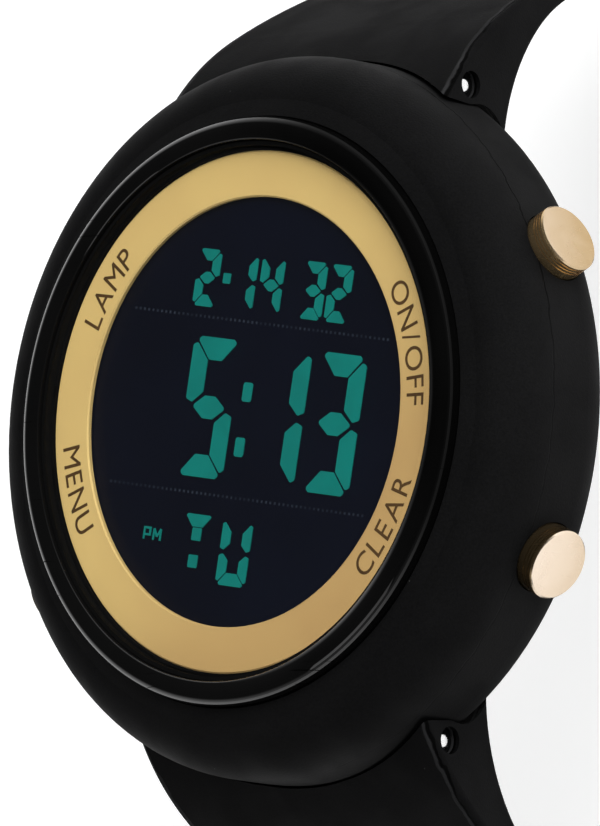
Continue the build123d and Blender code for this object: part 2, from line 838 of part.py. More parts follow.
# Pushers, each with its spring and its retaining clip
for name, angle in pusher_angles.items():
    with BuildPart() as pusher:
        with BuildSketch(radial_plane(angle, head_floor)):
            Circle(pusher_head_radius)
        extrude(amount=pusher_head_length)
        push_axis = Axis(radial_plane(angle, 0).origin, radial_plane(angle, 0).z_dir)
        chamfer(pusher.edges().filter_by(GeomType.CIRCLE).sort_by(push_axis)[-1], pusher_face_chamfer)
        for groove in range(pusher_groove_count):
            groove_place = pusher_face_radius - (groove + 1) * pusher_groove_pitch - pusher_groove_width
            with BuildSketch(radial_plane(angle, groove_place)):
                Circle(pusher_head_radius)
                Circle(pusher_head_radius - pusher_groove_depth, mode=Mode.SUBTRACT)
            extrude(amount=pusher_groove_width, mode=Mode.SUBTRACT)
        with BuildSketch(radial_plane(angle, pusher_stem_end)):
            Circle(pusher_stem_radius)
        extrude(amount=head_floor - pusher_stem_end)
        with BuildSketch(radial_plane(angle, clip_ring_place)):
            Circle(pusher_stem_radius)
            Circle(stem_neck_radius, mode=Mode.SUBTRACT)
        extrude(amount=clip_ring_thickness, mode=Mode.SUBTRACT)
    pusher.part.label = f"pusher_{name}"
    export_step(pusher.part, f"parts/pusher_{name}.step")

    with BuildPart() as pusher_clip:
        with BuildSketch(radial_plane(angle, clip_ring_place)):
            Circle(clip_ring_radius)
            Circle(stem_neck_radius, mode=Mode.SUBTRACT)
            with Locations((0, clip_ring_radius)):
                Rectangle(clip_ring_slot, 2 * clip_ring_radius, mode=Mode.SUBTRACT)
        extrude(amount=clip_ring_thickness)
    pusher_clip.part.label = f"pusher_clip_{name}"
    export_step(pusher_clip.part, f"parts/pusher_clip_{name}.step")

    spring_start = radial_plane(angle, spring_floor + pusher_spring_wire / 2)
    pusher_spring = coil(
        spring_start.origin,
        spring_start.z_dir,
        pusher_spring_outer - pusher_spring_wire / 2,
        pusher_spring_wire,
        head_floor - spring_floor,
        pusher_spring_turns,
    )
    pusher_spring.label = f"pusher_spring_{name}"
    export_step(pusher_spring, f"parts/pusher_spring_{name}.step")

with BuildPart() as pusher_seals:
    for angle in pusher_angles.values():
        section_plane = radial_plane(angle, seal_place)
        stem_axis = Axis(section_plane.origin, section_plane.z_dir)
        with BuildSketch(Plane(section_plane.origin, section_plane.x_dir, (0, 0, 1))):
            with Locations((pusher_stem_radius + running_gap + seal_wire_radius, 0)):
                Circle(seal_wire_radius)
        revolve(axis=stem_axis)
pusher_seals.part.label = "pusher_seals"
export_step(pusher_seals.part, "parts/pusher_seals.step")

# Spring bars
for name, side in strap_sides.items():
    with BuildPart() as spring_bar_tube:
        with BuildSketch(Plane.YZ):
            with Locations((side * pin_y, pin_z)):
                Circle(tube_radius)
                Circle(tube_radius - tube_wall, mode=Mode.SUBTRACT)
        extrude(amount=tube_half_length, both=True)
    spring_bar_tube.part.label = f"spring_bar_tube_{name}"
    export_step(spring_bar_tube.part, f"parts/spring_bar_tube_{name}.step")

    with BuildPart() as fixed_tip:
        with BuildSketch(Plane.YZ.offset(-tip_end)):
            with Locations((side * pin_y, pin_z)):
                Circle(tip_radius)
        extrude(amount=tip_end - fixed_tip_seat)
        fillet(fixed_tip.edges().group_by(Axis.X)[0], tip_round)
    fixed_tip.part.label = f"fixed_tip_{name}"
    export_step(fixed_tip.part, f"parts/fixed_tip_{name}.step")

    with BuildPart() as moving_tip:
        with BuildSketch(Plane.YZ.offset(moving_tip_seat)):
            with Locations((side * pin_y, pin_z)):
                Circle(tip_radius)
        extrude(amount=tip_end - moving_tip_seat)
        fillet(moving_tip.edges().group_by(Axis.X)[-1], tip_round)
    moving_tip.part.label = f"moving_tip_{name}"
    export_step(moving_tip.part, f"parts/moving_tip_{name}.step")

    bar_spring = coil(
        (-fixed_tip_seat + bar_spring_wire / 2, side * pin_y, pin_z),
        (1, 0, 0),
        tip_radius - bar_spring_wire / 2,
        bar_spring_wire,
        fixed_tip_seat + moving_tip_seat,
        bar_spring_turns,
    )
    bar_spring.label = f"bar_spring_{name}"
    export_step(bar_spring, f"parts/bar_spring_{name}.step")

# Room that the strap ends leave for the case, at rest and turned to both limits
with BuildPart() as case_room:
    with BuildSketch(Plane.XZ):
        with BuildLine():
            room_foot = (case_radius - foot_round, case_floor + foot_round)
            room_radius = foot_round + strap_gap
            foot_arc = CenterArc(room_foot, room_radius, -90, 90)
            Polyline(
                foot_arc @ 1,
                (case_radius + strap_gap, seam_height + root_outer_radius),
                (0, seam_height + root_outer_radius),
                (0, -strap_gap),
                (case_radius - foot_round, -strap_gap),
                foot_arc @ 0,
            )
        make_face()
    revolve(axis=Axis.Z)


def outer_root():
    """Outer side of a strap half from inside the case to where its two halves part in shape."""
    start = (root_outer_y, seam_height)
    lead = heading(root_outer_angle)
    Line((start[0] - root_run_in * lead[0], start[1] - root_run_in * lead[1]), start)
    shoulder = JernArc(start, lead, root_outer_radius, -root_outer_turn)
    return JernArc(shoulder @ 1, shoulder % 1, strap_bend_radius, -strap_bend_turn)


def inner_root(end):
    """Inner side of a strap half, thick at the case and meeting the thin strap at a given point."""
    start = (root_inner_y, root_inner_z)
    lead = heading(root_inner_angle)
    Line((start[0] - root_run_in * lead[0], start[1] - root_run_in * lead[1]), start)
    shoulder = JernArc(start, lead, root_inner_radius, -root_inner_turn)
    TangentArc(shoulder @ 1, end, tangent=shoulder % 1)


def close_root():
    """Line inside the case that joins the two sides of a strap half."""
    outer_lead = heading(root_outer_angle)
    inner_lead = heading(root_inner_angle)
    Line(
        (root_outer_y - root_run_in * outer_lead[0], seam_height - root_run_in * outer_lead[1]),
        (root_inner_y - root_run_in * inner_lead[0], root_inner_z - root_run_in * inner_lead[1]),
    )


strap_heading = root_outer_angle + root_outer_turn + strap_bend_turn
strap_along = heading(strap_heading)
strap_across = (-sin(radians(strap_heading)), -cos(radians(strap_heading)))
tail_turn = 90 - strap_heading
strap_pitch_line = strap_thickness / 2


def taper_outline(depth):
    """Front outline of a strap half, wide at the case and narrow below."""
    top = seam_height + root_run_in
    right_side = Spline(
        (strap_root_half_width, taper_start_z),
        (strap_half_width, taper_end_z),
        tangents=((0, -1), (0, -1)),
    )
    left_side = Spline(
        (-strap_root_half_width, taper_start_z),
        (-strap_half_width, taper_end_z),
        tangents=((0, -1), (0, -1)),
    )
    Polyline(
        right_side @ 0,
        (strap_root_half_width, top),
        (-strap_root_half_width, top),
        left_side @ 0,
    )
    Polyline(
        right_side @ 1,
        (strap_half_width, -depth),
        (-strap_half_width, -depth),
        left_side @ 1,
    )


def side_edges(edges):
    """Long edges on one side of a strap, without the seams where straight sides meet the taper."""
    seams = edges.filter_by(Axis.Y).filter_by_position(
        Axis.Z, taper_end_z - running_gap, taper_start_z + running_gap
    )
    sides = edges.filter_by(lambda edge: min((edge @ 0).X, (edge @ 1).X) > strap_half_width / 2)
    return [edge for edge in sides if edge not in seams and edge.length > 2 * strap_thickness]


def root_turns():
    """Turns of a strap half, as seen in its own side plane, at which its end must clear the case."""
    return (-hinge_out_angle, -hinge_out_angle / 2, 0, hinge_in_angle / 2, hinge_in_angle)


# Strap half with the buckle
strap_reach = 2 * case_radius
with BuildPart() as strap_upper:
    with BuildSketch(side_plane(1)):
        with BuildLine():
            bend = outer_root()
            outer_end = bend @ 1 + Vector(*strap_along) * buckle_strap_run
            thickness_step = Vector(*strap_across) * strap_thickness
            Polyline(bend @ 1, outer_end, outer_end + thickness_step, bend @ 1 + thickness_step)
            inner_root(bend @ 1 + thickness_step)
            close_root()
        make_face()
    extrude(amount=strap_root_half_width)
    with BuildSketch(Plane.XZ):
        with BuildLine():
            taper_outline(strap_reach)
        make_face()
    extrude(amount=strap_reach, both=True, mode=Mode.INTERSECT)
    fillet(side_edges(strap_upper.edges()), strap_edge_round)
    mirror(about=Plane.YZ)
    bar_y = (outer_end + thickness_step / 2).X
    bar_z = (outer_end + thickness_step / 2).Y
    with BuildSketch(side_plane(1)):
        with Locations((bar_y, bar_z)):
            Circle(eye_radius)
    extrude(amount=strap_half_width, both=True)
    with BuildSketch(side_plane(1)):
        with Locations((bar_y, bar_z)):
            Circle(bar_radius + running_gap)
    extrude(amount=strap_root_half_width, both=True, mode=Mode.SUBTRACT)
    slot_plane = Plane(
        origin=(0, bar_y, bar_z), x_dir=(1, 0, 0), z_dir=(0, strap_along[0], strap_along[1])
    )
    with BuildSketch(slot_plane.offset(-tang_slot_length)):
        Rectangle(2 * tang_slot_half_width, 2 * eye_radius + overrun)
    extrude(amount=tang_slot_length + eye_radius + overrun, mode=Mode.SUBTRACT)
    for turn in root_turns():
        pin_axis = Axis((0, pin_y, pin_z), (1, 0, 0))
        add(case_room.part.rotate(pin_axis, turn), mode=Mode.SUBTRACT)
    with BuildSketch(side_plane(1)):
        with Locations((pin_y, pin_z)):
            Circle(tip_radius + running_gap)
    extrude(amount=strap_root_half_width, both=True, mode=Mode.SUBTRACT)
    for end in (-1, 1):
        with BuildSketch(Plane.YZ.offset(end * (strap_root_half_width - cheek_bore_depth))):
            with Locations((pin_y, pin_z)):
                Circle(cheek_bore_radius)
        extrude(amount=end * (cheek_bore_depth + overrun), mode=Mode.SUBTRACT)
strap_upper.part.label = "strap_upper"
export_step(strap_upper.part, "parts/strap_upper.step")

# Strap half with the holes
with BuildPart() as strap_lower:
    with BuildSketch(side_plane(-1)):
        with BuildLine():
            bend = outer_root()
            sweep_arc = JernArc(bend @ 1, bend % 1, tail_sweep_radius, -tail_turn)
            curl_arc = JernArc(sweep_arc @ 1, sweep_arc % 1, tail_curl_radius, -90)
            tail_end = curl_arc @ 1 - Vector(tail_flat, 0)
            thickness_step = Vector(*strap_across) * strap_thickness
            inner_sweep = JernArc(
                bend @ 1 + thickness_step, bend % 1, tail_sweep_radius - strap_thickness, -tail_turn
            )
            inner_curl = JernArc(
                inner_sweep @ 1, inner_sweep % 1, tail_curl_radius - strap_thickness, -90
            )
            Polyline(
                curl_arc @ 1, tail_end, tail_end + Vector(0, strap_thickness), inner_curl @ 1
            )
            inner_root(bend @ 1 + thickness_step)
            close_root()
        make_face()
    extrude(amount=-strap_root_half_width)
    with BuildSketch(Plane.XZ):
        with BuildLine():
            taper_outline(2 * strap_reach)
        make_face()
    extrude(amount=strap_reach, both=True, mode=Mode.INTERSECT)
    fillet(strap_lower.edges().filter_by(Axis.Z).sort_by(Axis.X)[-1], tail_tip_round)
    fillet(side_edges(strap_lower.edges()), strap_edge_round)
    mirror(about=Plane.YZ)
    curl_centre = (curl_arc @ 1) + Vector(0, tail_curl_radius)
    pitch_radius = tail_curl_radius - strap_pitch_line
    for index in range(strap_hole_count):
        along = strap_hole_first + index * strap_hole_pitch - tail_flat
        if along < 0:
            place = (curl_arc @ 1) + Vector(along, strap_pitch_line)
            outward = (0, -1)
        else:
            turn = along / pitch_radius
            outward = (sin(turn), -cos(turn))
            place = curl_centre + Vector(*outward) * pitch_radius
        hole_plane = Plane(
            origin=(0, -place.X, place.Y), x_dir=(1, 0, 0), z_dir=(0, -outward[0], outward[1])
        )
        with BuildSketch(hole_plane.offset(-strap_thickness)):
            Circle(strap_hole_radius)
        extrude(amount=2 * strap_thickness, mode=Mode.SUBTRACT)
    for turn in root_turns():
        pin_axis = Axis((0, -pin_y, pin_z), (1, 0, 0))
        add(case_room.part.rotate(pin_axis, -turn), mode=Mode.SUBTRACT)
    with BuildSketch(side_plane(-1)):
        with Locations((pin_y, pin_z)):
            Circle(tip_radius + running_gap)
    extrude(amount=strap_root_half_width, both=True, mode=Mode.SUBTRACT)
    for end in (-1, 1):
        with BuildSketch(Plane.YZ.offset(end * (strap_root_half_width - cheek_bore_depth))):
            with Locations((-pin_y, pin_z)):
                Circle(cheek_bore_radius)
        extrude(amount=end * (cheek_bore_depth + overrun), mode=Mode.SUBTRACT)
strap_lower.part.label = "strap_lower"
export_step(strap_lower.part, "parts/strap_lower.step")


def keeper_plane(distance):
    """Plane across the buckle half, a distance up the strap from the buckle bar."""
    return Plane(
        origin=(0, bar_y - distance * strap_along[0], bar_z - distance * strap_along[1]),
        x_dir=(-1, 0, 0),
        z_dir=(0, strap_along[0], strap_along[1]),
    )


def keeper_loop(distance, seat_gap):
    """Loop round the strap that leaves room on its outer side for the other half."""
    inner_half = strap_half_width + keeper_side_gap
    low = -strap_thickness / 2 - seat_gap
    high = strap_thickness / 2 + keeper_room
    middle = (low + high) / 2
    with BuildPart() as loop:
        with BuildSketch(keeper_plane(distance).offset(-keeper_length / 2)):
            with Locations((0, middle)):
                RectangleRounded(
                    2 * (inner_half + keeper_wall), high - low + 2 * keeper_wall, keeper_wall
                )
                Rectangle(2 * inner_half, high - low, mode=Mode.SUBTRACT)
        extrude(amount=keeper_length)
    return loop.part


fixed_keeper = keeper_loop(fixed_keeper_place, 0)
fixed_keeper.label = "fixed_keeper"
export_step(fixed_keeper, "parts/fixed_keeper.step")

free_keeper = keeper_loop(free_keeper_place, keeper_slide_gap)
free_keeper.label = "free_keeper"
export_step(free_keeper, "parts/free_keeper.step")

# Buckle frame, hanging plumb from its bar
with BuildPart() as buckle_frame:
    frame_height = buckle_top + buckle_drop + buckle_cross_bar / 2
    with BuildSketch(Plane.XZ.offset(-bar_y)):
        with Locations((0, bar_z + buckle_top - frame_height / 2)):
            Rectangle(2 * buckle_half_width, frame_height)
        with Locations((0, bar_z + buckle_top - frame_height / 2 + buckle_cross_bar)):
            Rectangle(2 * (buckle_half_width - buckle_arm), frame_height, mode=Mode.SUBTRACT)
    extrude(amount=buckle_thickness / 2, both=True)
    fillet(buckle_frame.edges().filter_by(Axis.Z), buckle_round)
    fillet(buckle_frame.edges().filter_by(Axis.X).group_by(Axis.Z)[0], buckle_round)
    with BuildSketch(Plane.YZ):
        with Locations((bar_y, bar_z)):
            Circle(bar_radius + running_gap / 2)
    extrude(amount=buckle_half_width, both=True, mode=Mode.SUBTRACT)
buckle_frame.part.label = "buckle_frame"
export_step(buckle_frame.part, "parts/buckle_frame.step")

with BuildPart() as buckle_bar:
    with BuildSketch(Plane.YZ):
        with Locations((bar_y, bar_z)):
            Circle(bar_radius)
    extrude(amount=buckle_half_width, both=True)
buckle_bar.part.label = "buckle_bar"
export_step(buckle_bar.part, "parts/buckle_bar.step")

# Tang, resting on the outer side of the cross bar
with BuildPart() as buckle_tang:
    blade_y = bar_y + buckle_thickness / 2 + tang_rest_gap
    blade_tip = bar_z - buckle_drop - buckle_cross_bar / 2 - tang_tip_past
    with BuildSketch(Plane.YZ):
        with Locations((bar_y, bar_z)):
            Circle(tang_loop_radius)
        with BuildLine():
            Polyline(
                (blade_y, bar_z),
                (blade_y + tang_thickness, bar_z),
                (blade_y + tang_thickness, blade_tip + tang_thickness),
                (blade_y + tang_thickness / 2, blade_tip),
                (blade_y, blade_tip),
                close=True,
            )
        make_face()
        with Locations((bar_y, bar_z)):
            Circle(bar_radius + running_gap, mode=Mode.SUBTRACT)
    extrude(amount=tang_half_width, both=True)
buckle_tang.part.label = "buckle_tang"
export_step(buckle_tang.part, "parts/buckle_tang.step")
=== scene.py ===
"""Finishes, lettering and studio for a round digital wristwatch, on its packed CAD frame."""

from math import cos, radians, sin, tau

import bmesh
import bpy
from bpy.props import FloatProperty, FloatVectorProperty, PointerProperty, StringProperty
from mathutils import Matrix, Vector


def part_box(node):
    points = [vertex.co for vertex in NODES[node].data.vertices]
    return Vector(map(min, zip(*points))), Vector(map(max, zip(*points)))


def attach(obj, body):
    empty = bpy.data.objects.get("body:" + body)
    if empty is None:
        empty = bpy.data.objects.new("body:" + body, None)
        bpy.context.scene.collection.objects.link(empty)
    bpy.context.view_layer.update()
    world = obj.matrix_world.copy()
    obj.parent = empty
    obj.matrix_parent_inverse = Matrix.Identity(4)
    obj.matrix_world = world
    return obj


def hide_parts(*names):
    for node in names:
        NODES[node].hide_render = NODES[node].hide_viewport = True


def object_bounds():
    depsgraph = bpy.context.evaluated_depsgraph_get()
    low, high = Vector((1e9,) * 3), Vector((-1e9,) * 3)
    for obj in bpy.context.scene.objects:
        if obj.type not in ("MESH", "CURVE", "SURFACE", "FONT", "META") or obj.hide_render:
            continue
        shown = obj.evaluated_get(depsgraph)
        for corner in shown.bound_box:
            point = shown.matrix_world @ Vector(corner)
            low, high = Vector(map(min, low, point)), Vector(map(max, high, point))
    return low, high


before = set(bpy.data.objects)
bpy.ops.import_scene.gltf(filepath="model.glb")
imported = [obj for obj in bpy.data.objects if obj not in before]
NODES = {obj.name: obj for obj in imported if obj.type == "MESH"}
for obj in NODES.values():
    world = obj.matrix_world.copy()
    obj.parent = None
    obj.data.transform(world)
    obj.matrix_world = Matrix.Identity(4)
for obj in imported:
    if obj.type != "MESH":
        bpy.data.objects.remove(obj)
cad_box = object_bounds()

bl_info = {
    "name": "Digital wristwatch",
    "version": (1, 0, 0),
    "blender": (4, 5, 0),
    "location": "3D Viewport > Sidebar > Watch",
    "description": "Dresses the frame of a round digital wristwatch and sets up its studio",
    "category": "Object",
}

MM = 0.001
PUSHERS = ("two", "four", "eight", "ten")
ENDS = ("upper", "lower")
WHITE = (1.0, 1.0, 1.0, 1.0)

# Height of the dial ring's face, and of the floor that the watch stands on
DIAL_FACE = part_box("dial_ring")[1].z
FLOOR = cad_box[0].z

# Points nearer than the first are merged, and points within the second are at one radius
MERGE = 0.001 * MM
NEAR = 0.01 * MM

# Steps round the spun ring, its crown and its lip, and the angle from which an edge is sharp
RING_STEPS = 240
CROWN_STEPS = 14
LIP_STEPS = 4
CREASE = radians(32.0)

# Height of a capital as a share of the font's size, and half the thickness of the ink
CAPITAL_SHARE = 0.73
INK_HALF = 0.008 * MM

# Each word's setting, its place round the dial in degrees and whether its tops point outward
WORDS = (
    ("upper_left", 153.6, True),
    ("lower_left", -155.0, False),
    ("upper_right", 22.6, True),
    ("lower_right", -23.3, False),
)

# Share of light that clear plastic mirrors when it is seen straight on
MIRROR = 0.04

# Distance from the dial's axis beyond which a push-button's surface is its face
BUTTON_FACE = 26.33 * MM

# Range that most of a noise stays in, and how far a roughness drifts
NOISE_LOW, NOISE_HIGH = 0.3, 0.7
GLOSS_DRIFT = 0.05

# Each softbox's place, its size and whether it shows in gloss
SOFTBOXES = {
    "key": ((0.75, 0.65, 0.70), (1.1, 1.1), False),
    "overhead": ((-0.1, 0.1, 1.3), (1.5, 1.5), False),
    "low": ((0.1, -0.9, 0.45), (0.7, 0.3), True),
}

# Level direction in which the surroundings are brightest
BRIGHT_SIDE = (-0.8, 0.6, 0.0)

# The camera's axes and its sensor's width
CAMERA_RIGHT = (0.72150, 0.03297, -0.69163)
CAMERA_BACK = (0.68979, -0.12112, 0.71381)
SENSOR_WIDTH = 36.0


# Sizes and colours that a user would change


def colour_property(name, description, default):
    """Colour setting with the usual limits."""
    return FloatVectorProperty(
        name=name, description=description, default=default, subtype="COLOR", min=0.0, max=1.0
    )


def length_property(name, description, default):
    """Length setting in metres."""
    return FloatProperty(
        name=name, description=description, default=default, unit="LENGTH", min=0.0, precision=5
    )


def height_property(name, description, default):
    """Height setting in metres, which may be below zero."""
    return FloatProperty(
        name=name, description=description, default=default, unit="LENGTH", precision=5
    )


def strength_property(name, description, default):
    """Strength of a light."""
    return FloatProperty(name=name, description=description, default=default, min=0.0)


class WatchResin(bpy.types.PropertyGroup):
    """Moulded case, bezel ring and strap"""

    case: colour_property("Case", "Colour of the moulded case", (0.0056, 0.0056, 0.0058))
    strap: colour_property(
        "Strap", "Colour of the strap, its keepers and its buckle", (0.0046, 0.0046, 0.0048)
    )
    seal: colour_property("Seals", "Colour of the gaskets and the cushion", (0.004, 0.004, 0.004))
    bezel: colour_property("Bezel", "Colour of the polished ring", (0.002, 0.002, 0.002))
    bezel_wall: colour_property(
        "Bezel wall", "Colour of the ring's inner wall", (0.004, 0.004, 0.004)
    )
    ring_inner: length_property("Ring opening", "Radius of the ring's inner wall", 18.6 * MM)
    grain: length_property("Grain", "Size of the moulded grain", 0.16 * MM)
    seam_height: length_property("Seam height", "Height of the case's mould line", 7.4 * MM)
    seam_width: length_property("Seam width", "Width of the case's mould line", 0.08 * MM)
    strap_root_half_width: length_property(
        "Strap root", "Half width of the strap at the case", 13.6 * MM
    )
    strap_half_width: length_property("Strap", "Half width of the strap beyond its taper", 10 * MM)
    taper_high: height_property("Taper start", "Height where the strap's taper starts", 6 * MM)
    taper_low: height_property("Taper end", "Height where the strap's taper ends", -20 * MM)
    ring_width: length_property("Ring width", "Width of the polished ring's wall", 1.7 * MM)
    crown_round: length_property("Crown", "Radius of the ring's outer corner", 0.95 * MM)
    slope_run: length_property("Slope run", "Width of the slope inside the crown", 0.6 * MM)
    slope_drop: length_property("Slope drop", "Fall of the slope inside the crown", 0.11 * MM)
    lip_break: length_property("Lip", "Round of the ring's inner edge", 0.13 * MM)
    shelf_height: length_property("Shelf height", "Height of the crystal's ledge", 0.75 * MM)
    shelf_width: length_property("Shelf width", "Width of the crystal's ledge", 0.55 * MM)


class WatchDial(bpy.types.PropertyGroup):
    """Dial ring and its lettering"""

    gold: colour_property("Gold", "Colour of the dial ring", (0.95, 0.69, 0.26))
    # Gold where the painted shade is deepest.
    gold_shaded: colour_property(
        "Gold, turned off", "Colour of the ring away from the light", (0.68, 0.43, 0.17)
    )
    ink: colour_property("Ink", "Colour of the lettering", (0.09, 0.045, 0.012))
    turn: FloatProperty(
        name="Turn", description="Turn of the dial in the case", default=radians(-8.9), unit="ROTATION"
    )
    letter_height: length_property("Letter height", "Height of the lettering", 1.68 * MM)
    letter_radius: length_property(
        "Letter radius", "Radius of the middle of the lettering", 16.32 * MM
    )
    letter_gap: length_property("Letter gap", "Space between two letters", 0.36 * MM)
    upper_left: StringProperty(name="Upper left", description="Word at ten o'clock", default="LAMP")
    lower_left: StringProperty(name="Lower left", description="Word at eight o'clock", default="MENU")
    upper_right: StringProperty(
        name="Upper right", description="Word at two o'clock", default="ON/OFF"
    )
    lower_right: StringProperty(
        name="Lower right", description="Word at four o'clock", default="CLEAR"
    )


class WatchDisplay(bpy.types.PropertyGroup):
    """Dark display"""

    glass: colour_property("Background", "Colour of the dark display", (0.0022, 0.0035, 0.0100))
    lit: colour_property("Lit", "Colour of the lit characters", (0.0, 0.225, 0.190))
    rule: colour_property("Rules", "Colour of the dotted rules", (0.026, 0.034, 0.05))
    reflector: colour_property(
        "Reflector", "Colour of the foil behind the display", (0.78, 0.78, 0.8)
    )
    rule_pitch: length_property("Rule pitch", "Distance between two dots of a rule", 0.42 * MM)
    rule_reach: length_property("Rule reach", "Half the length of a rule", 12.4 * MM)
    rule_width: length_property("Rule width", "How far from its middle a rule fades out", 0.13 * MM)
    upper_rule: height_property("Upper rule", "Height of the upper rule", 6.15 * MM)
    lower_rule: height_property("Lower rule", "Height of the lower rule", -5.92 * MM)


class WatchMetal(bpy.types.PropertyGroup):
    """Push-buttons and metal parts"""

    push_face: colour_property("Button face", "Colour of a button's face", (0.83, 0.70, 0.57))
    # Face colour where the painted shade and reflection are deepest.
    push_face_shaded: colour_property(
        "Button face, turned off", "Colour of a face turned from the light", (0.46, 0.31, 0.14)
    )
    # Side colour, which push_finish paints lighter or darker as painted light and shade.
    push_side: colour_property("Button side", "Colour of a button's side", (0.44, 0.31, 0.16))
    steel: colour_property("Steel", "Colour of most steel parts", (0.62, 0.62, 0.62))
    tip: colour_property("Tips", "Colour of the spring bars' tips", (0.8, 0.8, 0.8))
    screw: colour_property("Screws", "Colour of the screws", (0.75, 0.75, 0.75))
    cell: colour_property("Cell", "Colour of the coin cell and the quartz can", (0.72, 0.72, 0.72))
    brass: colour_property("Brass", "Colour of the contacts", (0.76, 0.58, 0.25))


class WatchModule(bpy.types.PropertyGroup):
    """Module inside the case"""

    guide: colour_property("Light guide", "Colour of the frosted guide", (0.8, 0.84, 0.82))
    lamp: colour_property("Lamp", "Colour of the backlight's lamp", (0.82, 0.78, 0.55))
    zebra: colour_property("Connectors", "Colour of the rubber connectors", (0.5, 0.11, 0.07))
    holder: colour_property("Holder", "Colour of the frame and its holder", (0.66, 0.66, 0.63))
    board: colour_property("Board", "Colour of the circuit board", (0.015, 0.14, 0.05))
    chip: colour_property("Chip", "Colour of the resin over the chip", (0.01, 0.01, 0.01))
    insulator: colour_property("Insulator", "Colour of the cell's insulator", (0.66, 0.42, 0.08))


class WatchStudio(bpy.types.PropertyGroup):
    """Floor, lamps and camera"""

    floor: colour_property("Floor", "Colour of the floor", (0.8, 0.8, 0.8))
    floor_size: length_property("Floor size", "Side of the floor", 6.0)
    floor_lift: strength_property(
        "Floor lift", "Light added to the floor near the watch, where the camera sees it", 0.45
    )
    sweep: strength_property("Sweep", "Strength of the surroundings beyond the floor", 0.9)
    sky: strength_property("Sky", "Strength of the surroundings overhead", 0.05)
    key: strength_property("Key", "Strength of the main softbox", 18.5)
    overhead: strength_property("Overhead", "Strength of the softbox overhead", 6.5)
    low: strength_property("Low", "Strength of the low softbox", 0.8)
    camera: FloatVectorProperty(
        name="Camera", description="Place of the camera", default=(0.71424, -0.12488, 0.74521),
        unit="LENGTH",
    )
    lens: FloatProperty(name="Lens", description="Focal length of the camera", default=657.7, unit="CAMERA")


# Node building


def feed(tree, socket, value):
    """Sets an input, or links another node's output to it."""
    if isinstance(value, bpy.types.NodeSocket):
        tree.links.new(value, socket)
    else:
        socket.default_value = value


def make(tree, kind, inputs=None, **settings):
    """New node in a tree. Each input is given a value or another node's output."""
    node = tree.nodes.new(kind)
    for name, value in settings.items():
        setattr(node, name, value)
    for name, value in (inputs or {}).items():
        feed(tree, node.inputs[name], value)
    return node


def calc(tree, operation, *values):
    """Output of a Math node."""
    return make(tree, "ShaderNodeMath", dict(enumerate(values)), operation=operation).outputs[0]


def spread(tree, value, low, high, to_low=0.0, to_high=1.0, kind="SMOOTHSTEP"):
    """Output of a Map Range node."""
    inputs = {
        "Value": value, "From Min": low, "From Max": high, "To Min": to_low, "To Max": to_high,
    }
    return make(tree, "ShaderNodeMapRange", inputs, interpolation_type=kind).outputs["Result"]


def noise(tree, vector, scale, **inputs):
    """Value of a noise over a vector."""
    inputs = {"Vector": vector, "Scale": scale, **inputs}
    return make(tree, "ShaderNodeTexNoise", inputs).outputs["Fac"]


def blend_colours(tree, factor, first, second):
    """Colour between two, each a colour or a node's output."""
    node = make(tree, "ShaderNodeMix", {0: factor, 6: first, 7: second}, data_type="RGBA")
    return node.outputs[2]


def blend_values(tree, factor, first, second):
    """Value between two, each a number or a node's output."""
    return make(tree, "ShaderNodeMix", {0: factor, 2: first, 3: second}, data_type="FLOAT").outputs[0]


def opaque(colour, share=1.0):
    """Four-part colour from three parts, made lighter or darker by a share."""
    return (*(min(1.0, part * share) for part in colour), 1.0)


def new_group(name, inputs, outputs):
    """Empty shader group with named sockets: the group, its inner inputs and its inner outputs."""
    group = bpy.data.node_groups.new(name, "ShaderNodeTree")
    for label, default in inputs.items():
        kind = "NodeSocketVector" if default is None else "NodeSocketFloat"
        socket = group.interface.new_socket(label, in_out="INPUT", socket_type=kind)
        if default is not None:
            socket.default_value = default
    for label in outputs:
        group.interface.new_socket(label, in_out="OUTPUT", socket_type="NodeSocketFloat")
    inner_in = group.nodes.new("NodeGroupInput")
    inner_out = group.nodes.new("NodeGroupOutput")
    return group, inner_in.outputs, inner_out.inputs


def size_scale(group, size):
    """Scale at which a pattern's cells have a size."""
    return calc(group, "DIVIDE", 1.0, size)


def moulded_grain_group():
    """Fine spark-eroded grain of a moulding: a height, and a tone that goes with it."""
    pit_depth = 0.35
    pit_floor, pit_rim = 0.1, 0.7
    group, given, result = new_group("Moulded grain", {"Vector": None, "Size": 0.0002}, ("Height", "Tone"))
    scale = size_scale(group, given["Size"])
    fine = noise(group, given["Vector"], scale, Detail=4.0, Roughness=0.62)
    cells = make(group, "ShaderNodeTexVoronoi", {"Vector": given["Vector"], "Scale": scale})
    pits = spread(group, cells.outputs["Distance"], pit_floor, pit_rim)
    group.links.new(calc(group, "MULTIPLY_ADD", pits, pit_depth, fine), result["Height"])
    group.links.new(spread(group, fine, NOISE_LOW, NOISE_HIGH), result["Tone"])
    return group


def uneven_group():
    """Slow drift between two values, as handling, flow and light polish leave."""
    middle_low, middle_high = 0.32, 0.68
    group, given, result = new_group(
        "Uneven", {"Vector": None, "Size": 0.005, "Low": 0.0, "High": 1.0}, ("Value",)
    )
    scale = size_scale(group, given["Size"])
    drift = noise(group, given["Vector"], scale, Detail=2.0, Roughness=0.5, Distortion=0.4)
    value = spread(group, drift, middle_low, middle_high, given["Low"], given["High"])
    group.links.new(value, result["Value"])
    return group


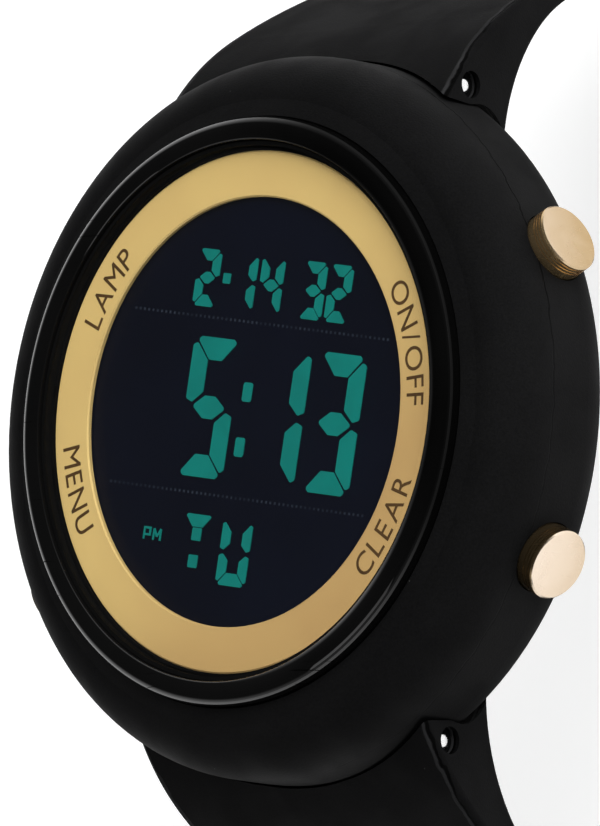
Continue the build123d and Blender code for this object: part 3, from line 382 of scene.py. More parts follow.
def specks_group():
    """Thin scatter of dust specks: 1 on a speck."""
    speck_radius = 0.055
    group, given, result = new_group("Specks", {"Vector": None, "Size": 0.001, "Share": 0.1}, ("Mask",))
    scale = size_scale(group, given["Size"])
    cells = make(group, "ShaderNodeTexVoronoi", {"Vector": given["Vector"], "Scale": scale})
    dot = calc(group, "LESS_THAN", cells.outputs["Distance"], speck_radius)
    chance = make(group, "ShaderNodeSeparateColor", {"Color": cells.outputs["Color"]})
    chosen = calc(group, "LESS_THAN", chance.outputs["Red"], given["Share"])
    group.links.new(calc(group, "MULTIPLY", dot, chosen), result["Mask"])
    return group


def scuffs_group():
    """Fine straight scuffs: 1 along a scuff."""
    highest, share_effect, softness = 0.78, 0.4, 0.06
    group, given, result = new_group("Scuffs", {"Vector": None, "Size": 0.004, "Share": 0.2}, ("Mask",))
    stretched = make(
        group, "ShaderNodeMapping",
        {"Vector": given["Vector"], "Rotation": (0.3, 0.5, 0.9), "Scale": (1.0, 26.0, 1.0)},
    )
    scale = size_scale(group, given["Size"])
    lines = noise(group, stretched.outputs["Vector"], scale, Detail=2.0, Roughness=0.6)
    low = calc(group, "SUBTRACT", highest, calc(group, "MULTIPLY", given["Share"], share_effect))
    high = calc(group, "ADD", low, softness)
    group.links.new(spread(group, lines, low, high), result["Mask"])
    return group


def turned_group():
    """Rings that a lathe leaves round the Z axis of the pattern: a height and a tone."""
    group, given, result = new_group("Turned", {"Vector": None, "Pitch": 0.0001}, ("Height", "Tone"))
    parts = make(group, "ShaderNodeSeparateXYZ", {"Vector": given["Vector"]})
    flat = make(group, "ShaderNodeCombineXYZ", {"X": parts.outputs["X"], "Y": parts.outputs["Y"]})
    radius = make(group, "ShaderNodeVectorMath", {0: flat.outputs["Vector"]}, operation="LENGTH")
    along = calc(group, "DIVIDE", radius.outputs["Value"], given["Pitch"])
    rings = make(
        group, "ShaderNodeTexNoise", {"W": along, "Scale": 1.0, "Detail": 3.0}, noise_dimensions="1D"
    )
    group.links.new(rings.outputs["Fac"], result["Height"])
    group.links.new(spread(group, rings.outputs["Fac"], NOISE_LOW, NOISE_HIGH), result["Tone"])
    return group


def brushed_group():
    """Lines of a brushed sheet along the X axis of the pattern: a height and a tone."""
    group, given, result = new_group("Brushed", {"Vector": None, "Pitch": 0.0001}, ("Height", "Tone"))
    drawn = make(group, "ShaderNodeMapping", {"Vector": given["Vector"], "Scale": (0.02, 1.0, 1.0)})
    scale = size_scale(group, given["Pitch"])
    lines = noise(group, drawn.outputs["Vector"], scale, Detail=3.0, Roughness=0.6)
    group.links.new(lines, result["Height"])
    group.links.new(spread(group, lines, NOISE_LOW, NOISE_HIGH), result["Tone"])
    return group


def band_group():
    """Line at one place of a value: 1 on the line, falling to 0 at its width."""
    solid_share = 0.4
    group, given, result = new_group("Band", {"Value": 0.0, "Place": 0.0, "Width": 0.001}, ("Mask",))
    away = calc(group, "ABSOLUTE", calc(group, "SUBTRACT", given["Value"], given["Place"]))
    away = calc(group, "DIVIDE", away, given["Width"])
    group.links.new(spread(group, away, solid_share, 1.0, to_low=1.0, to_high=0.0), result["Mask"])
    return group


GROUP_MAKERS = {
    "Moulded grain": moulded_grain_group,
    "Uneven": uneven_group,
    "Specks": specks_group,
    "Scuffs": scuffs_group,
    "Turned": turned_group,
    "Brushed": brushed_group,
    "Band": band_group,
}


def effect(tree, name, **values):
    """Shared effect placed in a material, as its outputs."""
    group = bpy.data.node_groups.get(name) or GROUP_MAKERS[name]()
    return make(tree, "ShaderNodeGroup", values, node_tree=group).outputs


class Finish:
    """A new material: its tree, its Principled shader and the object's own coordinates."""

    def __init__(self, name, **constants):
        self.material = bpy.data.materials.new(name)
        self.material.use_nodes = True
        self.tree = self.material.node_tree
        self.shader = self.tree.nodes["Principled BSDF"]
        for label, value in constants.items():
            self.shader.inputs[label.replace("_", " ")].default_value = value
        self.place = make(self.tree, "ShaderNodeTexCoord").outputs["Object"]

    def link(self, output, label):
        """Feeds one of the shader's inputs."""
        self.tree.links.new(output, self.shader.inputs[label])

    def fed(self, label):
        """The output that feeds one of the shader's inputs."""
        return self.shader.inputs[label].links[0].from_socket

    def effect(self, name, vector=None, **values):
        """Shared effect over the place, or over another vector, as its outputs."""
        return effect(self.tree, name, Vector=vector or self.place, **values)

    def uneven(self, size, low=0.0, high=1.0, vector=None):
        """Slow drift between two values."""
        return self.effect("Uneven", vector, Size=size, Low=low, High=high)["Value"]

    def shaded(self, tone, colour, low, high):
        """Colour between a darker and a lighter share of itself."""
        return blend_colours(self.tree, tone, opaque(colour, low), opaque(colour, high))

    def bump(self, height, depth):
        """Raises the surface by a height, a depth in metres at most."""
        inputs = {"Height": height, "Distance": depth, "Strength": 1.0}
        self.link(make(self.tree, "ShaderNodeBump", inputs).outputs["Normal"], "Normal")

    def raise_bump(self, mask, share):
        """Adds a share of a mask to the height that the bump is made from."""
        socket = self.fed("Normal").node.inputs["Height"]
        height = socket.links[0].from_socket
        self.tree.links.new(calc(self.tree, "MULTIPLY_ADD", mask, share, height), socket)

    def parts(self, vector=None):
        """The X, Y and Z of a vector, or of the place."""
        return make(self.tree, "ShaderNodeSeparateXYZ", {"Vector": vector or self.place}).outputs

    def radius(self):
        """Distance from the Z axis."""
        parts = self.parts()
        square = calc(self.tree, "MULTIPLY", parts["X"], parts["X"])
        square = calc(self.tree, "MULTIPLY_ADD", parts["Y"], parts["Y"], square)
        return calc(self.tree, "SQRT", square)

    def along(self, x_share, y_share):
        """Distance along a level direction, given by its two parts."""
        parts = self.parts()
        across = calc(self.tree, "MULTIPLY", parts["X"], x_share)
        return calc(self.tree, "MULTIPLY_ADD", parts["Y"], y_share, across)

    def moved(self, **values):
        """The place, shifted or turned by a Mapping node."""
        inputs = {"Vector": self.place, **values}
        return make(self.tree, "ShaderNodeMapping", inputs).outputs["Vector"]


def dress(finish, *names):
    """Puts a finish on CAD nodes."""
    for name in names:
        materials = NODES[name].data.materials
        materials.clear()
        materials.append(finish.material)


# Finishes that several pieces share


def moulded_finish(name, colour, grain, roughness, specular=0.5):
    """Matte moulding: fine grain, slow drift of gloss and shade, and a little dust."""
    shade_drift = 0.08
    dust_share, dust_light = 0.04, 0.05
    finish = Finish(name, Specular_IOR_Level=specular)
    tree = finish.tree
    grained = finish.effect("Moulded grain", Size=grain)
    toned = finish.shaded(grained["Tone"], colour, low=0.8, high=1.2)
    shade = finish.uneven(7 * MM, 1.0 - shade_drift, 1.0 + shade_drift)
    varied = make(tree, "ShaderNodeHueSaturation", {"Color": toned, "Value": shade}).outputs["Color"]
    dusty = finish.effect("Specks", Size=0.9 * MM, Share=dust_share)
    pale = tuple(dust_light + part for part in colour)
    finish.link(blend_colours(tree, dusty["Mask"], varied, opaque(pale)), "Base Color")
    shifted = finish.moved(Location=(0.01, 0.02, 0.03))
    gloss = finish.uneven(4 * MM, roughness - GLOSS_DRIFT, roughness + GLOSS_DRIFT, shifted)
    finish.link(gloss, "Roughness")
    finish.bump(grained["Height"], depth=0.012 * MM)
    return finish


def gloss_finish(name, colour, roughness, coat=0.6, **constants):
    """Polished moulding: faint swirl scuffs in its gloss and slow drift of its shade."""
    scuff_roughness = 0.12
    finish = Finish(name, Coat_Roughness=0.03, **constants)
    tree = finish.tree
    scuffed = finish.effect("Scuffs", Size=6 * MM, Share=0.25)["Mask"]
    gloss = finish.uneven(5 * MM, roughness, roughness + GLOSS_DRIFT)
    finish.link(calc(tree, "MULTIPLY_ADD", scuffed, scuff_roughness, gloss), "Roughness")
    finish.link(finish.shaded(finish.uneven(9 * MM), colour, low=0.8, high=1.2), "Base Color")
    finish.link(calc(tree, "MULTIPLY_ADD", scuffed, -coat, coat), "Coat Weight")
    return finish


def metal_finish(name, colour, roughness, pattern="Brushed", pitch=0.06 * MM, depth=0.004 * MM):
    """Drawn, brushed or turned metal with the odd scuff."""
    line_roughness, scuff_roughness = 0.08, 0.1
    finish = Finish(name, Metallic=1.0)
    tree = finish.tree
    lined = finish.effect(pattern, Pitch=pitch)
    scuffed = finish.effect("Scuffs", Size=3 * MM, Share=0.3)["Mask"]
    gloss = finish.uneven(3 * MM, roughness - GLOSS_DRIFT, roughness + GLOSS_DRIFT)
    gloss = calc(tree, "MULTIPLY_ADD", lined["Tone"], line_roughness, gloss)
    finish.link(calc(tree, "MULTIPLY_ADD", scuffed, scuff_roughness, gloss), "Roughness")
    finish.link(finish.shaded(lined["Tone"], colour, low=0.88, high=1.08), "Base Color")
    finish.bump(lined["Height"], depth)
    return finish


def film_finish(name, colour, roughness):
    """Thin plastic film or printed board: faint orange peel and slow drift of its shade."""
    gloss_drift = 0.04
    finish = Finish(name)
    peel = finish.effect("Moulded grain", Size=0.8 * MM)
    finish.link(finish.shaded(finish.uneven(4 * MM), colour, low=0.85, high=1.15), "Base Color")
    low, high = roughness - gloss_drift, roughness + gloss_drift
    finish.link(spread(finish.tree, peel["Tone"], 0.0, 1.0, low, high, "LINEAR"), "Roughness")
    finish.bump(peel["Height"], depth=0.003 * MM)
    return finish


# Finishes of one piece


def case_finish(resin):
    """Moulded case with a fine mould line round it, clearest towards twelve o'clock."""
    line_shade, line_depth = 0.1, -5.0
    faint_from, clear_from = -4 * MM, 9 * MM
    finish = moulded_finish("case_resin", resin.case, resin.grain, roughness=0.7, specular=0.06)
    tree = finish.tree
    wander = finish.uneven(1.6 * MM, -resin.seam_width, resin.seam_width)
    height = calc(tree, "ADD", finish.parts()["Z"], wander)
    line = effect(tree, "Band", Value=height, Place=resin.seam_height, Width=resin.seam_width)
    clear = spread(tree, finish.parts()["Y"], faint_from, clear_from, to_low=0.25)
    mask = calc(tree, "MULTIPLY", line["Mask"], clear)
    dark = opaque(resin.case, line_shade)
    finish.link(blend_colours(tree, mask, finish.fed("Base Color"), dark), "Base Color")
    finish.raise_bump(mask, line_depth)
    return finish


def strap_finish(resin):
    """Moulded strap with a fine wavy flash line along both long edges, raised a little and painted lighter
    as a painted highlight, and a dark crease beside it.
    """
    wave = 0.1 * MM
    bead_highlight, crease_shade, line_height = 9.0, 0.2, 5.0
    # How far sideways a surface faces where each line fades out
    bead_lean, crease_lean = (0.5, 0.8), (0.9, 0.99)
    finish = moulded_finish("strap_resin", resin.strap, resin.grain, roughness=0.76, specular=0.05)
    tree = finish.tree
    parts = finish.parts()
    edge = spread(
        tree, parts["Z"], resin.taper_low, resin.taper_high, resin.strap_half_width,
        resin.strap_root_half_width, "LINEAR",
    )
    inward = calc(tree, "SUBTRACT", edge, calc(tree, "ABSOLUTE", parts["X"]))
    inward = calc(tree, "ADD", inward, finish.uneven(2.2 * MM, -wave, wave))
    normal = make(tree, "ShaderNodeTexCoord").outputs["Normal"]
    sideways = calc(tree, "ABSOLUTE", finish.parts(normal)["X"])
    # Painted highlight along a fine raised line near each edge, where the surface turns sideways.
    highlight_bead = effect(tree, "Band", Value=inward, Place=0.34 * MM, Width=0.2 * MM)["Mask"]
    bead_side = spread(tree, sideways, *bead_lean, to_low=1.0, to_high=0.0)
    highlight_bead = calc(tree, "MULTIPLY", highlight_bead, bead_side)
    crease = effect(tree, "Band", Value=inward, Place=0.08 * MM, Width=0.12 * MM)["Mask"]
    crease_side = spread(tree, sideways, *crease_lean, to_low=1.0, to_high=0.0)
    crease = calc(tree, "MULTIPLY", crease, crease_side)
    patchy = finish.uneven(5 * MM, low=0.3, vector=finish.moved(Location=(0.02, 0.0, 0.0)))
    shown = calc(tree, "MULTIPLY", highlight_bead, patchy)
    light, dark = opaque(resin.strap, bead_highlight), opaque(resin.strap, crease_shade)
    lifted = blend_colours(tree, shown, finish.fed("Base Color"), light)
    finish.link(blend_colours(tree, crease, lifted, dark), "Base Color")
    finish.raise_bump(highlight_bead, line_height)
    finish.raise_bump(crease, -line_height)
    return finish


def bezel_finish(resin):
    """Gloss of the ring: less towards the lamps, and little on its inner wall."""
    wall_reach, wall_coat, far_coat = 0.04 * MM, 0.08, 0.12
    bright_to, dull_from = 4 * MM, 15 * MM
    finish = gloss_finish("bezel_gloss", resin.bezel, 0.3, coat=1.0, Specular_IOR_Level=0.0)
    tree = finish.tree
    inner = calc(tree, "LESS_THAN", finish.radius(), resin.ring_inner + wall_reach)
    across = finish.along(x_share=0.92, y_share=0.4)
    side = spread(tree, across, bright_to, dull_from, to_low=1.0, to_high=far_coat)
    polish = calc(tree, "MULTIPLY", finish.fed("Coat Weight"), side)
    covered = calc(tree, "MULTIPLY_ADD", inner, wall_coat - 1.0, 1.0)
    finish.link(calc(tree, "MULTIPLY", polish, covered), "Coat Weight")
    wall = opaque(resin.bezel_wall)
    finish.link(blend_colours(tree, inner, finish.fed("Base Color"), wall), "Base Color")
    return finish


def crystal_finish():
    """Clear plastic: a mirror that shows only at its share of the light, and not on its rim."""
    rim, grazing_power = 0.16 * MM, 5.0
    tint = (0.97, 0.98, 1.0, 1.0)
    finish = Finish("crystal_clear", Metallic=1.0)
    tree = finish.tree
    smudge = finish.uneven(6 * MM, high=0.03)
    finish.link(smudge, "Roughness")
    facing = make(tree, "ShaderNodeLayerWeight", {"Blend": 0.5}).outputs["Facing"]
    grazing = calc(tree, "POWER", facing, grazing_power)
    mirrored = calc(tree, "MULTIPLY_ADD", grazing, 1.0 - MIRROR, MIRROR)
    inside = calc(tree, "LESS_THAN", finish.radius(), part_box("crystal")[1].x - rim)
    finish.link(calc(tree, "MULTIPLY", mirrored, inside), "Alpha")
    finish.link(blend_colours(tree, smudge, tint, WHITE), "Base Color")
    return finish


def dial_finish(settings):
    """Turned gold with painted shade: lighter towards -X and +Y, darker towards +X and -Y."""
    lit_side_share, drift_share, turned_share = 0.75, 0.15, 0.1
    shaded_to, lit_from = -15 * MM, 2 * MM
    finish = Finish("dial_gold", Metallic=0.15, Specular_IOR_Level=0.3)
    tree = finish.tree
    turned = finish.effect("Turned", Pitch=0.05 * MM)
    # Painted shade: the gold is lighter towards -X and +Y and darker towards +X and -Y.
    lit_side = spread(tree, finish.along(x_share=-0.6, y_share=0.8), shaded_to, lit_from)
    tone = calc(tree, "MULTIPLY", finish.uneven(9 * MM), drift_share)
    tone = calc(tree, "MULTIPLY_ADD", turned["Tone"], turned_share, tone)
    tone = calc(tree, "MULTIPLY_ADD", lit_side, lit_side_share, tone)
    gold = blend_colours(tree, tone, opaque(settings.gold_shaded), opaque(settings.gold))
    finish.link(gold, "Base Color")
    shifted = finish.moved(Location=(0.03, 0.0, 0.0))
    finish.link(finish.uneven(4 * MM, low=0.34, high=0.42, vector=shifted), "Roughness")
    finish.bump(turned["Height"], depth=0.0015 * MM)
    return finish


def display_finish(settings, turn):
    """Dark film with two dotted rules that fade in places, turned with the dial."""
    dot_share = 0.45
    finish = Finish("display_film", Specular_IOR_Level=0.08)
    tree = finish.tree
    parts = finish.parts(finish.moved(Rotation=(0.0, 0.0, -turn)))
    lines = [
        effect(tree, "Band", Value=parts["Y"], Place=place, Width=settings.rule_width)["Mask"]
        for place in (settings.upper_rule, settings.lower_rule)
    ]
    phase = calc(tree, "FRACT", calc(tree, "DIVIDE", parts["X"], settings.rule_pitch))
    dots = calc(tree, "LESS_THAN", phase, dot_share)
    inside = calc(tree, "LESS_THAN", calc(tree, "ABSOLUTE", parts["X"]), settings.rule_reach)
    mask = calc(tree, "MULTIPLY", calc(tree, "MAXIMUM", *lines), dots)
    mask = calc(tree, "MULTIPLY", mask, inside)
    mask = calc(tree, "MULTIPLY", mask, finish.uneven(2 * MM, low=0.25))
    dark = finish.shaded(finish.uneven(12 * MM), settings.glass, low=0.88, high=1.12)
    finish.link(blend_colours(tree, mask, dark, opaque(settings.rule)), "Base Color")
    finish.link(finish.uneven(5 * MM, low=0.3, high=0.36), "Roughness")
    return finish


def lit_finish(settings):
    """Lit characters, a little uneven."""
    finish = Finish("display_lit", Specular_IOR_Level=0.3)
    finish.link(finish.shaded(finish.uneven(3 * MM), settings.lit, low=0.94, high=1.06), "Base Color")
    finish.link(finish.uneven(1 * MM, low=0.4, high=0.5), "Roughness")
    return finish


def push_finish(metal):
    """Gold push-buttons with painted shade and reflection on the faces, darker towards +Y and towards their
    lower heights, and painted light and shade on the sides, lighter towards +Y.
    """
    drift_share, scuff_roughness = 0.08, 0.08
    side_drift, side_range = 6 * MM, (-6 * MM, 12 * MM)
    finish = Finish("push_gold", Metallic=0.92)
    tree = finish.tree
    parts = finish.parts()
    drift = finish.uneven(2 * MM)
    # Painted shade and reflection on the faces: darker towards +Y and towards the lower heights.
    turned_off = spread(tree, parts["Y"], -6 * MM, 6 * MM, to_high=0.55, kind="LINEAR")
    lower = spread(tree, parts["Z"], 3 * MM, 7.4 * MM, to_low=0.35, to_high=0.0, kind="LINEAR")
    face_shade = calc(tree, "MULTIPLY_ADD", drift, drift_share, calc(tree, "ADD", turned_off, lower))
    front = blend_colours(tree, face_shade, opaque(metal.push_face), opaque(metal.push_face_shaded))
    # Painted light and shade on the sides: lighter towards +Y.
    lit = spread(tree, calc(tree, "MULTIPLY_ADD", drift, side_drift, parts["Y"]), *side_range)
    side = finish.shaded(lit, metal.push_side, low=0.42, high=1.35)
    face = calc(tree, "GREATER_THAN", finish.radius(), BUTTON_FACE)
    finish.link(blend_colours(tree, face, side, front), "Base Color")
    scuffed = finish.effect("Scuffs", Size=2 * MM, Share=0.3)["Mask"]
    gloss = finish.uneven(1.5 * MM, low=0.2, high=0.28)
    finish.link(calc(tree, "MULTIPLY_ADD", scuffed, scuff_roughness, gloss), "Roughness")
    finish.bump(finish.effect("Moulded grain", Size=0.1 * MM)["Height"], depth=0.001 * MM)
    return finish


# Pieces


def mesh_from(form, name):
    """Mesh of a bmesh, which is freed."""
    mesh = bpy.data.meshes.new(name)
    form.to_mesh(mesh)
    form.free()
    return mesh


def finished_object(name, mesh, body):
    """Object at the origin for a finished mesh, on its CAD body."""
    piece = bpy.data.objects.new(name, mesh)
    bpy.context.scene.collection.objects.link(piece)
    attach(piece, body)
    return piece


def round_corner(form, point, radius, steps):
    """Rounds one corner of an outline."""
    bmesh.ops.bevel(
        form, geom=[point], offset=radius, segments=steps, profile=0.5, affect="VERTICES", material=-1
    )


def bezel_mesh(settings):
    """Smooth ring spun about the Z axis, as high and wide as the frame's."""
    low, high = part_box("bezel_ring")
    outer, crown = high.x, high.z
    lip = outer - settings.ring_width
    shelf_edge = lip - settings.shelf_width
    shelf = low.z + settings.shelf_height
    slope_start = outer - settings.crown_round
    slope_foot = slope_start - settings.slope_run
    slope_end = crown - settings.slope_drop
    profile = (
        (outer, low.z), (outer, crown), (slope_start, crown), (slope_foot, slope_end),
        (lip, slope_end - settings.lip_break), (lip, shelf), (shelf_edge, shelf), (shelf_edge, low.z),
    )
    form = bmesh.new()
    points = [form.verts.new((radius, 0.0, height)) for radius, height in profile]
    form.faces.new(points)
    round_corner(form, points[1], settings.crown_round, CROWN_STEPS)
    lip_points = [point for point in form.verts if abs(point.co.x - lip) < NEAR]
    top = max(lip_points, key=lambda point: point.co.z)
    round_corner(form, top, settings.lip_break, LIP_STEPS)
    bmesh.ops.delete(form, geom=form.faces[:], context="FACES_ONLY")
    bmesh.ops.spin(
        form, geom=form.verts[:] + form.edges[:], cent=(0.0, 0.0, 0.0), axis=(0.0, 0.0, 1.0),
        angle=tau, steps=RING_STEPS, use_merge=True,
    )
    bmesh.ops.remove_doubles(form, verts=form.verts, dist=MERGE)
    bmesh.ops.recalc_face_normals(form, faces=form.faces)
    for face in form.faces:
        face.smooth = True
    for edge in form.edges:
        edge.smooth = edge.calc_face_angle(0.0) < CREASE
    return mesh_from(form, "bezel_gloss_ring")


def letter_mesh(character, height):
    """One letter as a thin flat mesh, standing on its base line with its left edge at zero."""
    curve = bpy.data.curves.new("letter", "FONT")
    curve.body = character
    curve.size = height / CAPITAL_SHARE
    curve.extrude = INK_HALF
    curve.resolution_u = 6
    holder = bpy.data.objects.new("letter", curve)
    bpy.context.scene.collection.objects.link(holder)
    bpy.context.view_layer.update()
    depsgraph = bpy.context.evaluated_depsgraph_get()
    mesh = bpy.data.meshes.new_from_object(holder.evaluated_get(depsgraph))
    bpy.data.objects.remove(holder)
    left = min(vertex.co.x for vertex in mesh.vertices)
    mesh.transform(Matrix.Translation((-left, 0.0, 0.0)))
    return mesh


def curved_word(form, word, centre_angle, tops_out, settings):
    """Adds a word to a bmesh, bent round the dial about the Z axis."""
    meshes = [letter_mesh(character, settings.letter_height) for character in word]
    widths = [max(vertex.co.x for vertex in mesh.vertices) for mesh in meshes]
    total = sum(widths) + settings.letter_gap * (len(word) - 1)
    along = -total / 2
    side = 1.0 if tops_out else -1.0
    ink_middle = Vector((0.0, 0.0, DIAL_FACE + INK_HALF))
    for mesh, width in zip(meshes, widths):
        angle = centre_angle - side * (along + width / 2) / settings.letter_radius
        outward = Vector((cos(angle), sin(angle), 0.0))
        up = outward * side
        right = Vector((up.y, -up.x, 0.0))
        middle = outward * settings.letter_radius
        base = middle - up * settings.letter_height / 2 - right * width / 2
        place = Matrix((right, up, Vector((0.0, 0.0, 1.0)))).transposed().to_4x4()
        place.translation = base + ink_middle
        mesh.transform(place)
        form.from_mesh(mesh)
        bpy.data.meshes.remove(mesh)
        along += width + settings.letter_gap


def lettering_mesh(settings):
    """The four words on the dial ring."""
    form = bmesh.new()
    for corner, degrees, tops_out in WORDS:
        curved_word(form, getattr(settings, corner), radians(degrees) + settings.turn, tops_out, settings)
    bmesh.ops.remove_doubles(form, verts=form.verts, dist=MERGE)
    bmesh.ops.recalc_face_normals(form, faces=form.faces)
    return mesh_from(form, "dial_lettering")


class WATCH_OT_case(bpy.types.Operator):
    """Case, bezel ring and case gaskets"""

    bl_idname = "watch.case"
    bl_label = "Case and bezel"

    def execute(self, context):
        resin = context.scene.watch_resin
        dress(case_finish(resin), "case_body")
        bezel = bezel_finish(resin)
        mesh = bezel_mesh(resin)
        mesh.materials.append(bezel.material)
        ring = finished_object("bezel_gloss_ring", mesh, "case")
        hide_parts("bezel_ring")
        dress(bezel, "bezel_ring")
        seal = moulded_finish("seal_rubber", resin.seal, 0.1 * MM, roughness=0.8, specular=0.1)
        dress(seal, "crystal_gasket", "back_gasket", "pusher_seals", "back_cushion")
        return {"FINISHED"}


class WATCH_OT_crystal(bpy.types.Operator):
    """Clear crystal"""

    bl_idname = "watch.crystal"
    bl_label = "Crystal"

    def execute(self, context):
        dress(crystal_finish(), "crystal")
        return {"FINISHED"}


class WATCH_OT_dial(bpy.types.Operator):
    """Gold dial ring and its lettering"""

    bl_idname = "watch.dial"
    bl_label = "Dial ring"

    def execute(self, context):
        settings = context.scene.watch_dial
        dress(dial_finish(settings), "dial_ring")
        mesh = lettering_mesh(settings)
        finished_object("dial_lettering", mesh, "case")
        mesh.materials.append(film_finish("dial_ink", settings.ink, roughness=0.5).material)
        return {"FINISHED"}


class WATCH_OT_display(bpy.types.Operator):
    """Dark display, its lit characters and its dotted rules"""

    bl_idname = "watch.display"
    bl_label = "Display"

    def execute(self, context):
        settings = context.scene.watch_display
        dress(display_finish(settings, context.scene.watch_dial.turn), "lcd_polariser")
        dress(lit_finish(settings), "lcd_segments")
        dress(gloss_finish("display_glass", settings.glass, roughness=0.06), "lcd_panel")
        dress(metal_finish("display_reflector", settings.reflector, roughness=0.25), "lcd_reflector")
        return {"FINISHED"}


class WATCH_OT_pushers(bpy.types.Operator):
    """Gold push-buttons with their springs and clips"""

    bl_idname = "watch.pushers"
    bl_label = "Push-buttons"

    def execute(self, context):
        metal = context.scene.watch_metal
        gold = push_finish(metal)
        wire = metal_finish("spring_wire", metal.steel, roughness=0.3, pitch=0.05 * MM)
        for name in PUSHERS:
            dress(gold, f"pusher_{name}")
            dress(wire, f"pusher_clip_{name}", f"pusher_spring_{name}")
        return {"FINISHED"}


class WATCH_OT_strap(bpy.types.Operator):
    """Strap halves, spring bars, keepers and buckle"""

    bl_idname = "watch.strap"
    bl_label = "Strap and buckle"

    def execute(self, context):
        resin = context.scene.watch_resin
        metal = context.scene.watch_metal
        dress(strap_finish(resin), "strap_upper", "strap_lower", "fixed_keeper", "free_keeper")
        buckle = moulded_finish("buckle_resin", resin.strap, 0.12 * MM, roughness=0.42, specular=0.45)
        dress(buckle, "buckle_frame", "buckle_tang")
        pin = metal_finish("pin_steel", metal.steel, roughness=0.22, pitch=0.08 * MM)
        bright = metal_finish("tip_steel", metal.tip, roughness=0.16, pitch=0.1 * MM)
        dress(pin, "buckle_bar")
        for end in ENDS:
            dress(pin, f"spring_bar_tube_{end}", f"bar_spring_{end}")
            dress(bright, f"fixed_tip_{end}", f"moving_tip_{end}")
        return {"FINISHED"}


class WATCH_OT_back(bpy.types.Operator):
    """Case back, its screws and the buzzer"""

    bl_idname = "watch.back"
    bl_label = "Case back"

    def execute(self, context):
        metal = context.scene.watch_metal
        back = metal_finish("back_steel", metal.steel, 0.3, "Turned", pitch=0.09 * MM, depth=0.003 * MM)
        dress(back, "case_back")
        screws = metal_finish("screw_steel", metal.screw, 0.2, "Turned", pitch=0.07 * MM)
        dress(screws, "back_screws", "module_screws")
        brass = metal_finish("contact_brass", metal.brass, 0.28, "Turned", pitch=0.12 * MM)
        dress(brass, "buzzer_disc", "contact_springs")
        return {"FINISHED"}


class WATCH_OT_module(bpy.types.Operator):
    """Module inside the case"""

    bl_idname = "watch.module"
    bl_label = "Module"

    def execute(self, context):
        inner = context.scene.watch_module
        metal = context.scene.watch_metal
        dress(film_finish("guide_frosted", inner.guide, roughness=0.45), "light_guide")
        dress(film_finish("lamp_resin", inner.lamp, roughness=0.3), "backlight_led")
        dress(moulded_finish("zebra_rubber", inner.zebra, 0.05 * MM, roughness=0.6), "zebra_strips")
        holder = moulded_finish("frame_resin", inner.holder, 0.14 * MM, roughness=0.5)
        dress(holder, "module_frame", "movement_holder")
        dress(film_finish("board_mask", inner.board, roughness=0.3), "circuit_board")
        dress(film_finish("chip_resin", inner.chip, roughness=0.22), "chip_blob")
        cell = metal_finish("cell_steel", metal.cell, 0.25, "Turned", pitch=0.1 * MM)
        dress(cell, "coin_cell", "quartz_can")
        dress(film_finish("amber_film", inner.insulator, roughness=0.3), "battery_insulator")
        sheet = metal_finish("clip_steel", metal.steel, roughness=0.28, pitch=0.09 * MM)
        dress(sheet, "battery_clip", "buzzer_spring")
        return {"FINISHED"}


# Studio


def background_ray(tree):
    """1 for rays that show the background, straight on or in gloss and glass."""
    rays = make(tree, "ShaderNodeLightPath").outputs
    shiny = calc(tree, "MAXIMUM", rays["Is Glossy Ray"], rays["Is Transmission Ray"])
    return calc(tree, "MAXIMUM", rays["Is Camera Ray"], shiny)


def floor_finish(settings):
    """Pale paper, lifted where the camera sees it, and more so far from the watch."""
    near, far = 0.25, 1.2
    paper = Finish("floor_paper", Roughness=0.9, Specular_IOR_Level=0.1, Emission_Color=WHITE)
    tree = paper.tree
    paper.link(paper.shaded(paper.uneven(0.3), settings.floor, low=0.99, high=1.0), "Base Color")
    lift = spread(tree, paper.radius(), near, far, to_low=settings.floor_lift)
    paper.link(calc(tree, "MULTIPLY", background_ray(tree), lift), "Emission Strength")
    return paper


def add_floor(scene, settings):
    """Square floor under the watch."""
    form = bmesh.new()
    bmesh.ops.create_grid(form, x_segments=1, y_segments=1, size=settings.floor_size / 2)
    bmesh.ops.translate(form, verts=form.verts, vec=(0.0, 0.0, FLOOR))
    mesh = mesh_from(form, "floor")
    mesh.materials.append(floor_finish(settings).material)
    floor = bpy.data.objects.new("floor", mesh)
    scene.collection.objects.link(floor)


def surroundings(settings):
    """White to the camera, and to the rest a pale sweep beyond the floor under a dim sky."""
    reach, near_share = 0.6, 0.35
    sweep_top, sky_from = 0.08, 0.42
    world = bpy.data.worlds.new("surroundings")
    world.use_nodes = True
    tree = world.node_tree
    direction = make(tree, "ShaderNodeTexCoord").outputs["Generated"]
    height = make(tree, "ShaderNodeSeparateXYZ", {"Vector": direction}).outputs["Z"]
    beyond = make(tree, "ShaderNodeVectorMath", {0: direction, 1: BRIGHT_SIDE}, operation="DOT_PRODUCT")
    dim = near_share * settings.sweep
    level = spread(tree, beyond.outputs["Value"], -reach, reach, to_low=dim, to_high=settings.sweep)
    low = spread(tree, height, sweep_top, sky_from, to_low=1.0, to_high=0.0)
    around = blend_values(tree, low, settings.sky, level)
    seen = make(tree, "ShaderNodeLightPath").outputs["Is Camera Ray"]
    back = tree.nodes["Background"]
    tree.links.new(blend_values(tree, seen, around, 1.0), back.inputs["Strength"])
    back.inputs["Color"].default_value = WHITE
    return world


def add_softbox(scene, name, strength):
    """Rectangular lamp that faces the watch."""
    place, size, in_gloss = SOFTBOXES[name]
    lamp = bpy.data.lights.new(name, "AREA")
    lamp.shape = "RECTANGLE"
    lamp.size, lamp.size_y = size
    lamp.energy = strength
    holder = bpy.data.objects.new(name, lamp)
    holder.location = place
    holder.rotation_euler = (-Vector(place)).to_track_quat("-Z", "Y").to_euler()
    holder.visible_glossy = in_gloss
    scene.collection.objects.link(holder)


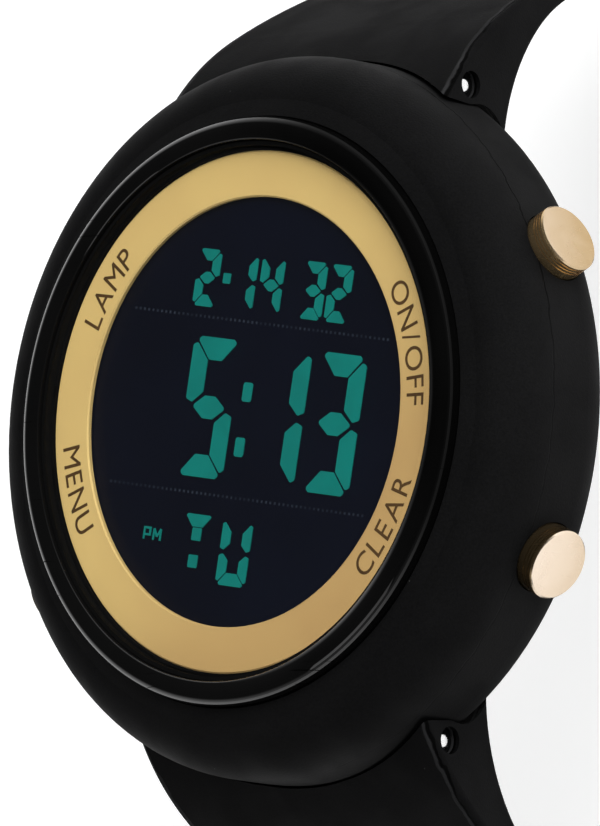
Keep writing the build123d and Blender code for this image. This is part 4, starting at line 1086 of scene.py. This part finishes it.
def add_camera(scene, settings):
    """Camera at its place, with axes made square to each other."""
    right = Vector(CAMERA_RIGHT).normalized()
    back = Vector(CAMERA_BACK).normalized()
    up = back.cross(right).normalized()
    lens = bpy.data.cameras.new("camera")
    lens.lens = settings.lens
    lens.sensor_width = SENSOR_WIDTH
    lens.clip_start, lens.clip_end = 0.01, 20.0
    camera = bpy.data.objects.new("camera", lens)
    place = Matrix((right, up, back)).transposed().to_4x4()
    place.translation = Vector(settings.camera)
    camera.matrix_world = place
    scene.collection.objects.link(camera)
    scene.camera = camera


class WATCH_OT_studio(bpy.types.Operator):
    """Pale floor, soft lamps, surroundings and the camera"""

    bl_idname = "watch.studio"
    bl_label = "Studio"

    def execute(self, context):
        scene = context.scene
        settings = scene.watch_studio
        add_floor(scene, settings)
        scene.world = surroundings(settings)
        for name in SOFTBOXES:
            add_softbox(scene, name, getattr(settings, name))
        add_camera(scene, settings)
        scene.view_settings.view_transform = "Standard"
        return {"FINISHED"}


class WATCH_PT_panel(bpy.types.Panel):
    """Lists the watch's settings and operators"""

    bl_label = "Digital wristwatch"
    bl_idname = "WATCH_PT_panel"
    bl_space_type = "VIEW_3D"
    bl_region_type = "UI"
    bl_category = "Watch"

    def draw(self, context):
        for name, group in SETTINGS.items():
            box = self.layout.box()
            box.label(text=group.__doc__)
            settings = getattr(context.scene, name)
            for label in group.__annotations__:
                box.prop(settings, label)
        for operator in OPERATORS:
            self.layout.operator(operator.bl_idname)


SETTINGS = {
    "watch_resin": WatchResin,
    "watch_dial": WatchDial,
    "watch_display": WatchDisplay,
    "watch_metal": WatchMetal,
    "watch_module": WatchModule,
    "watch_studio": WatchStudio,
}
OPERATORS = (
    WATCH_OT_case, WATCH_OT_crystal, WATCH_OT_dial, WATCH_OT_display, WATCH_OT_pushers,
    WATCH_OT_strap, WATCH_OT_back, WATCH_OT_module, WATCH_OT_studio,
)


def register():
    """Registers the settings, the operators and the panel."""
    for name, group in SETTINGS.items():
        bpy.utils.register_class(group)
        setattr(bpy.types.Scene, name, PointerProperty(type=group))
    for cls in (*OPERATORS, WATCH_PT_panel):
        bpy.utils.register_class(cls)


def unregister():
    """Takes them away again."""
    for cls in (WATCH_PT_panel, *reversed(OPERATORS)):
        bpy.utils.unregister_class(cls)
    for name, group in reversed(SETTINGS.items()):
        delattr(bpy.types.Scene, name)
        bpy.utils.unregister_class(group)


def main():
    """Builds the whole scene."""
    register()
    for operator in OPERATORS:
        family, name = operator.bl_idname.split(".")
        getattr(getattr(bpy.ops, family), name)()


if __name__ == "__main__":
    main()
